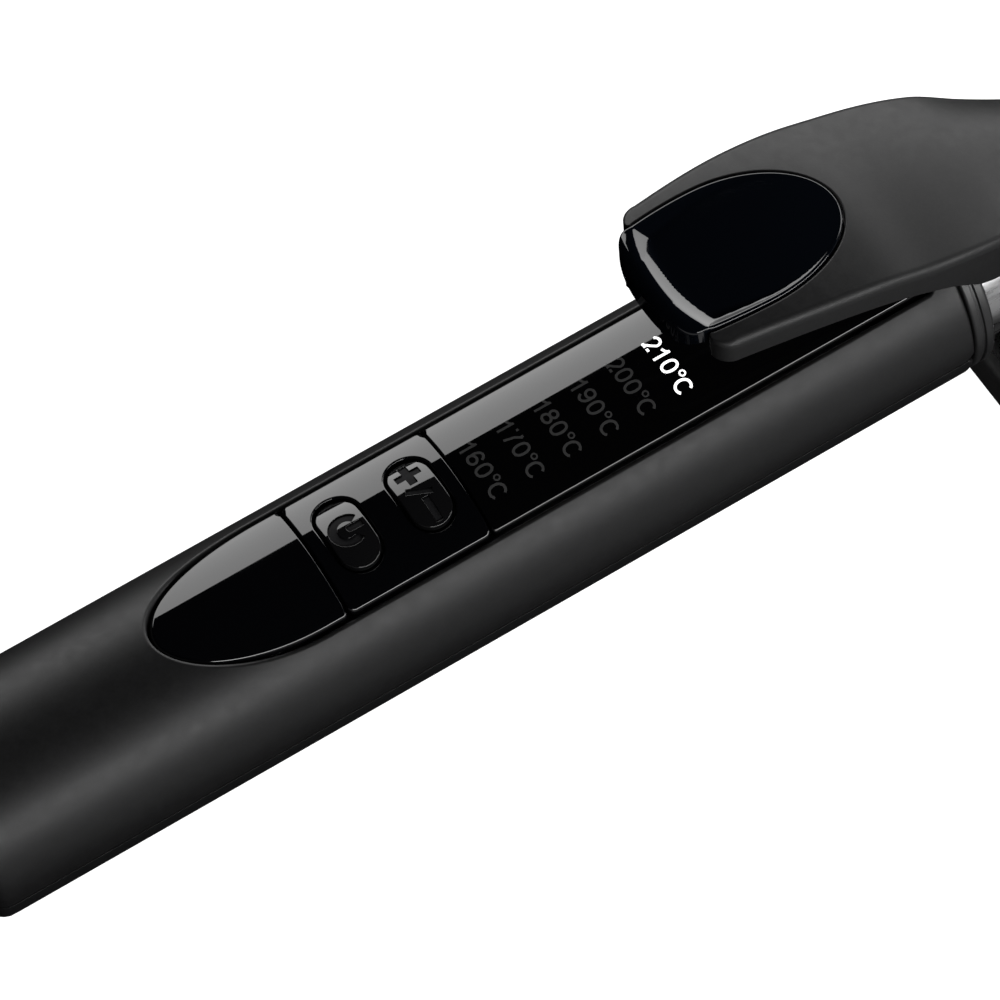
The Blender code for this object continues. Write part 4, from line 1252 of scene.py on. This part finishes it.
def light_panel(name, corners, strength):
    """A soft light that the camera doesn't see, as a glowing four-cornered sheet."""
    mesh = bpy.data.meshes.new(name)
    mesh.from_pydata(corners, [], [(0, 1, 2, 3)])
    glow = bpy.data.materials.new(name)
    glow.use_nodes = True
    nodes = glow.node_tree.nodes
    nodes.clear()
    emission = nodes.new("ShaderNodeEmission")
    emission.inputs["Strength"].default_value = strength
    output = nodes.new("ShaderNodeOutputMaterial")
    glow.node_tree.links.new(emission.outputs["Emission"], output.inputs["Surface"])
    mesh.materials.append(glow)
    obj = bpy.data.objects.new(name, mesh)
    bpy.context.scene.collection.objects.link(obj)
    obj.visible_camera = False


def wall_light(name, y, low_deg, high_deg, side_deg, turn_deg, strength):
    """An upright soft light beside the iron, by the angles at which the iron sees it."""
    base = 0.03
    reach = abs(y)
    low, high = (reach * math.tan(math.radians(a)) for a in (low_deg, high_deg))
    left, right = (reach * math.tan(math.radians(turn_deg + s * side_deg)) for s in (-1, 1))
    corners = [(left, y, low), (right, y, low), (right, y, high), (left, y, high)]
    light_panel(name, [Vector(c) + Vector((0.0, 0.0, base)) for c in corners], strength)


def build_stage():
    scene = bpy.context.scene
    world = bpy.data.worlds.new("studio")
    scene.world = world
    world.use_nodes = True
    world.node_tree.nodes["Background"].inputs["Color"].default_value = (1.0, 1.0, 1.0, 1.0)
    world.node_tree.nodes["Background"].inputs["Strength"].default_value = 1.0
    world.cycles_visibility.glossy = False
    world.cycles_visibility.diffuse = False

    mesh = bpy.data.meshes.new("floor")
    reach = 3.0
    mesh.from_pydata([(-reach, -reach, 0), (reach, -reach, 0), (reach, reach, 0), (-reach, reach, 0)], [],
                     [(0, 1, 2, 3)])
    looks = Looks("floor_pale", (0.6, 0.6, 0.6), 0.9)
    looks.set(Emission_Color=(1.0, 1.0, 1.0, 1.0), Emission_Strength=1.0, Specular_IOR_Level=0.0)
    looks.vary_colour(looks.noise(60.0), 0.01)
    mesh.materials.append(looks.material)
    floor = bpy.data.objects.new("floor", mesh)
    scene.collection.objects.link(floor)
    floor.visible_glossy = False
    floor.visible_diffuse = False

    wall_light("long_softbox", 0.8, low_deg=10.0, high_deg=44.6, side_deg=41.5, turn_deg=25.5, strength=4.0)
    wall_light("strip_light", -0.8, low_deg=16.0, high_deg=27.0, side_deg=45.0, turn_deg=15.0, strength=13.0)
    near, far, side, z = -0.045, -0.6, 0.5, 0.001
    light_panel("floor_bounce", [(-side, far, z), (side, far, z), (side, near, z), (-side, near, z)], 0.38)
    x, left, right, low, high = 0.8, -0.10, 0.37, 0.17, 0.62
    light_panel("front_light", [(x, left, low), (x, right, low), (x, right, high), (x, left, high)], 3.6)
    scene.view_settings.view_transform = "Standard"


def build_camera():
    """A long lens above the handle's -Y side, with the iron running up to the right."""
    toward = Vector((-0.2123, -0.4467, 0.8692)).normalized()
    distance, lens_share, sensor = 746.4, 5.177, 36.0
    middle_x, lift, roll = 93.1, 0.7, math.radians(29.42)
    along = (Vector((1, 0, 0)) - toward * toward.x).normalized()
    over = toward.cross(along)
    target = Vector((middle_x, 0.0, 0.0)) + lift * over
    right = along * math.cos(roll) - over * math.sin(roll)
    up = along * math.sin(roll) + over * math.cos(roll)
    turn = Matrix([IRON_TURN @ v for v in (right, up, toward)]).transposed()
    camera = bpy.data.cameras.new("camera")
    camera.lens, camera.sensor_width = lens_share * sensor, sensor
    camera.clip_start, camera.clip_end = 0.01, 20.0
    obj = bpy.data.objects.new("camera", camera)
    obj.matrix_world = Matrix.Translation(IRON @ (target + toward * distance)) @ turn.to_4x4()
    bpy.context.scene.collection.objects.link(obj)
    bpy.context.scene.camera = obj


def dress_inner_nodes():
    """The CAD pieces inside the iron keep their shapes and get procedural materials."""
    for name, obj in frame["nodes"].items():
        looks = INNER_LOOKS.get(SLOT_OF[name])
        if looks and not obj.hide_render:
            obj.data.materials.clear()
            obj.data.materials.append(looks)


build_camera()
build_stage()
build_casings()
build_panel()
build_labels()
build_screws()
build_gland()
build_barrel()
build_bracket()
build_pin("pivot_axle", "pivot_pin", PIVOT, 14.9)
build_pin("stand_axle", "stand_pin", STAND_HINGE, 14.2)
build_lever()
build_insert()
build_clamp_plate()
build_rivets()
build_stand()
dress_inner_nodes()
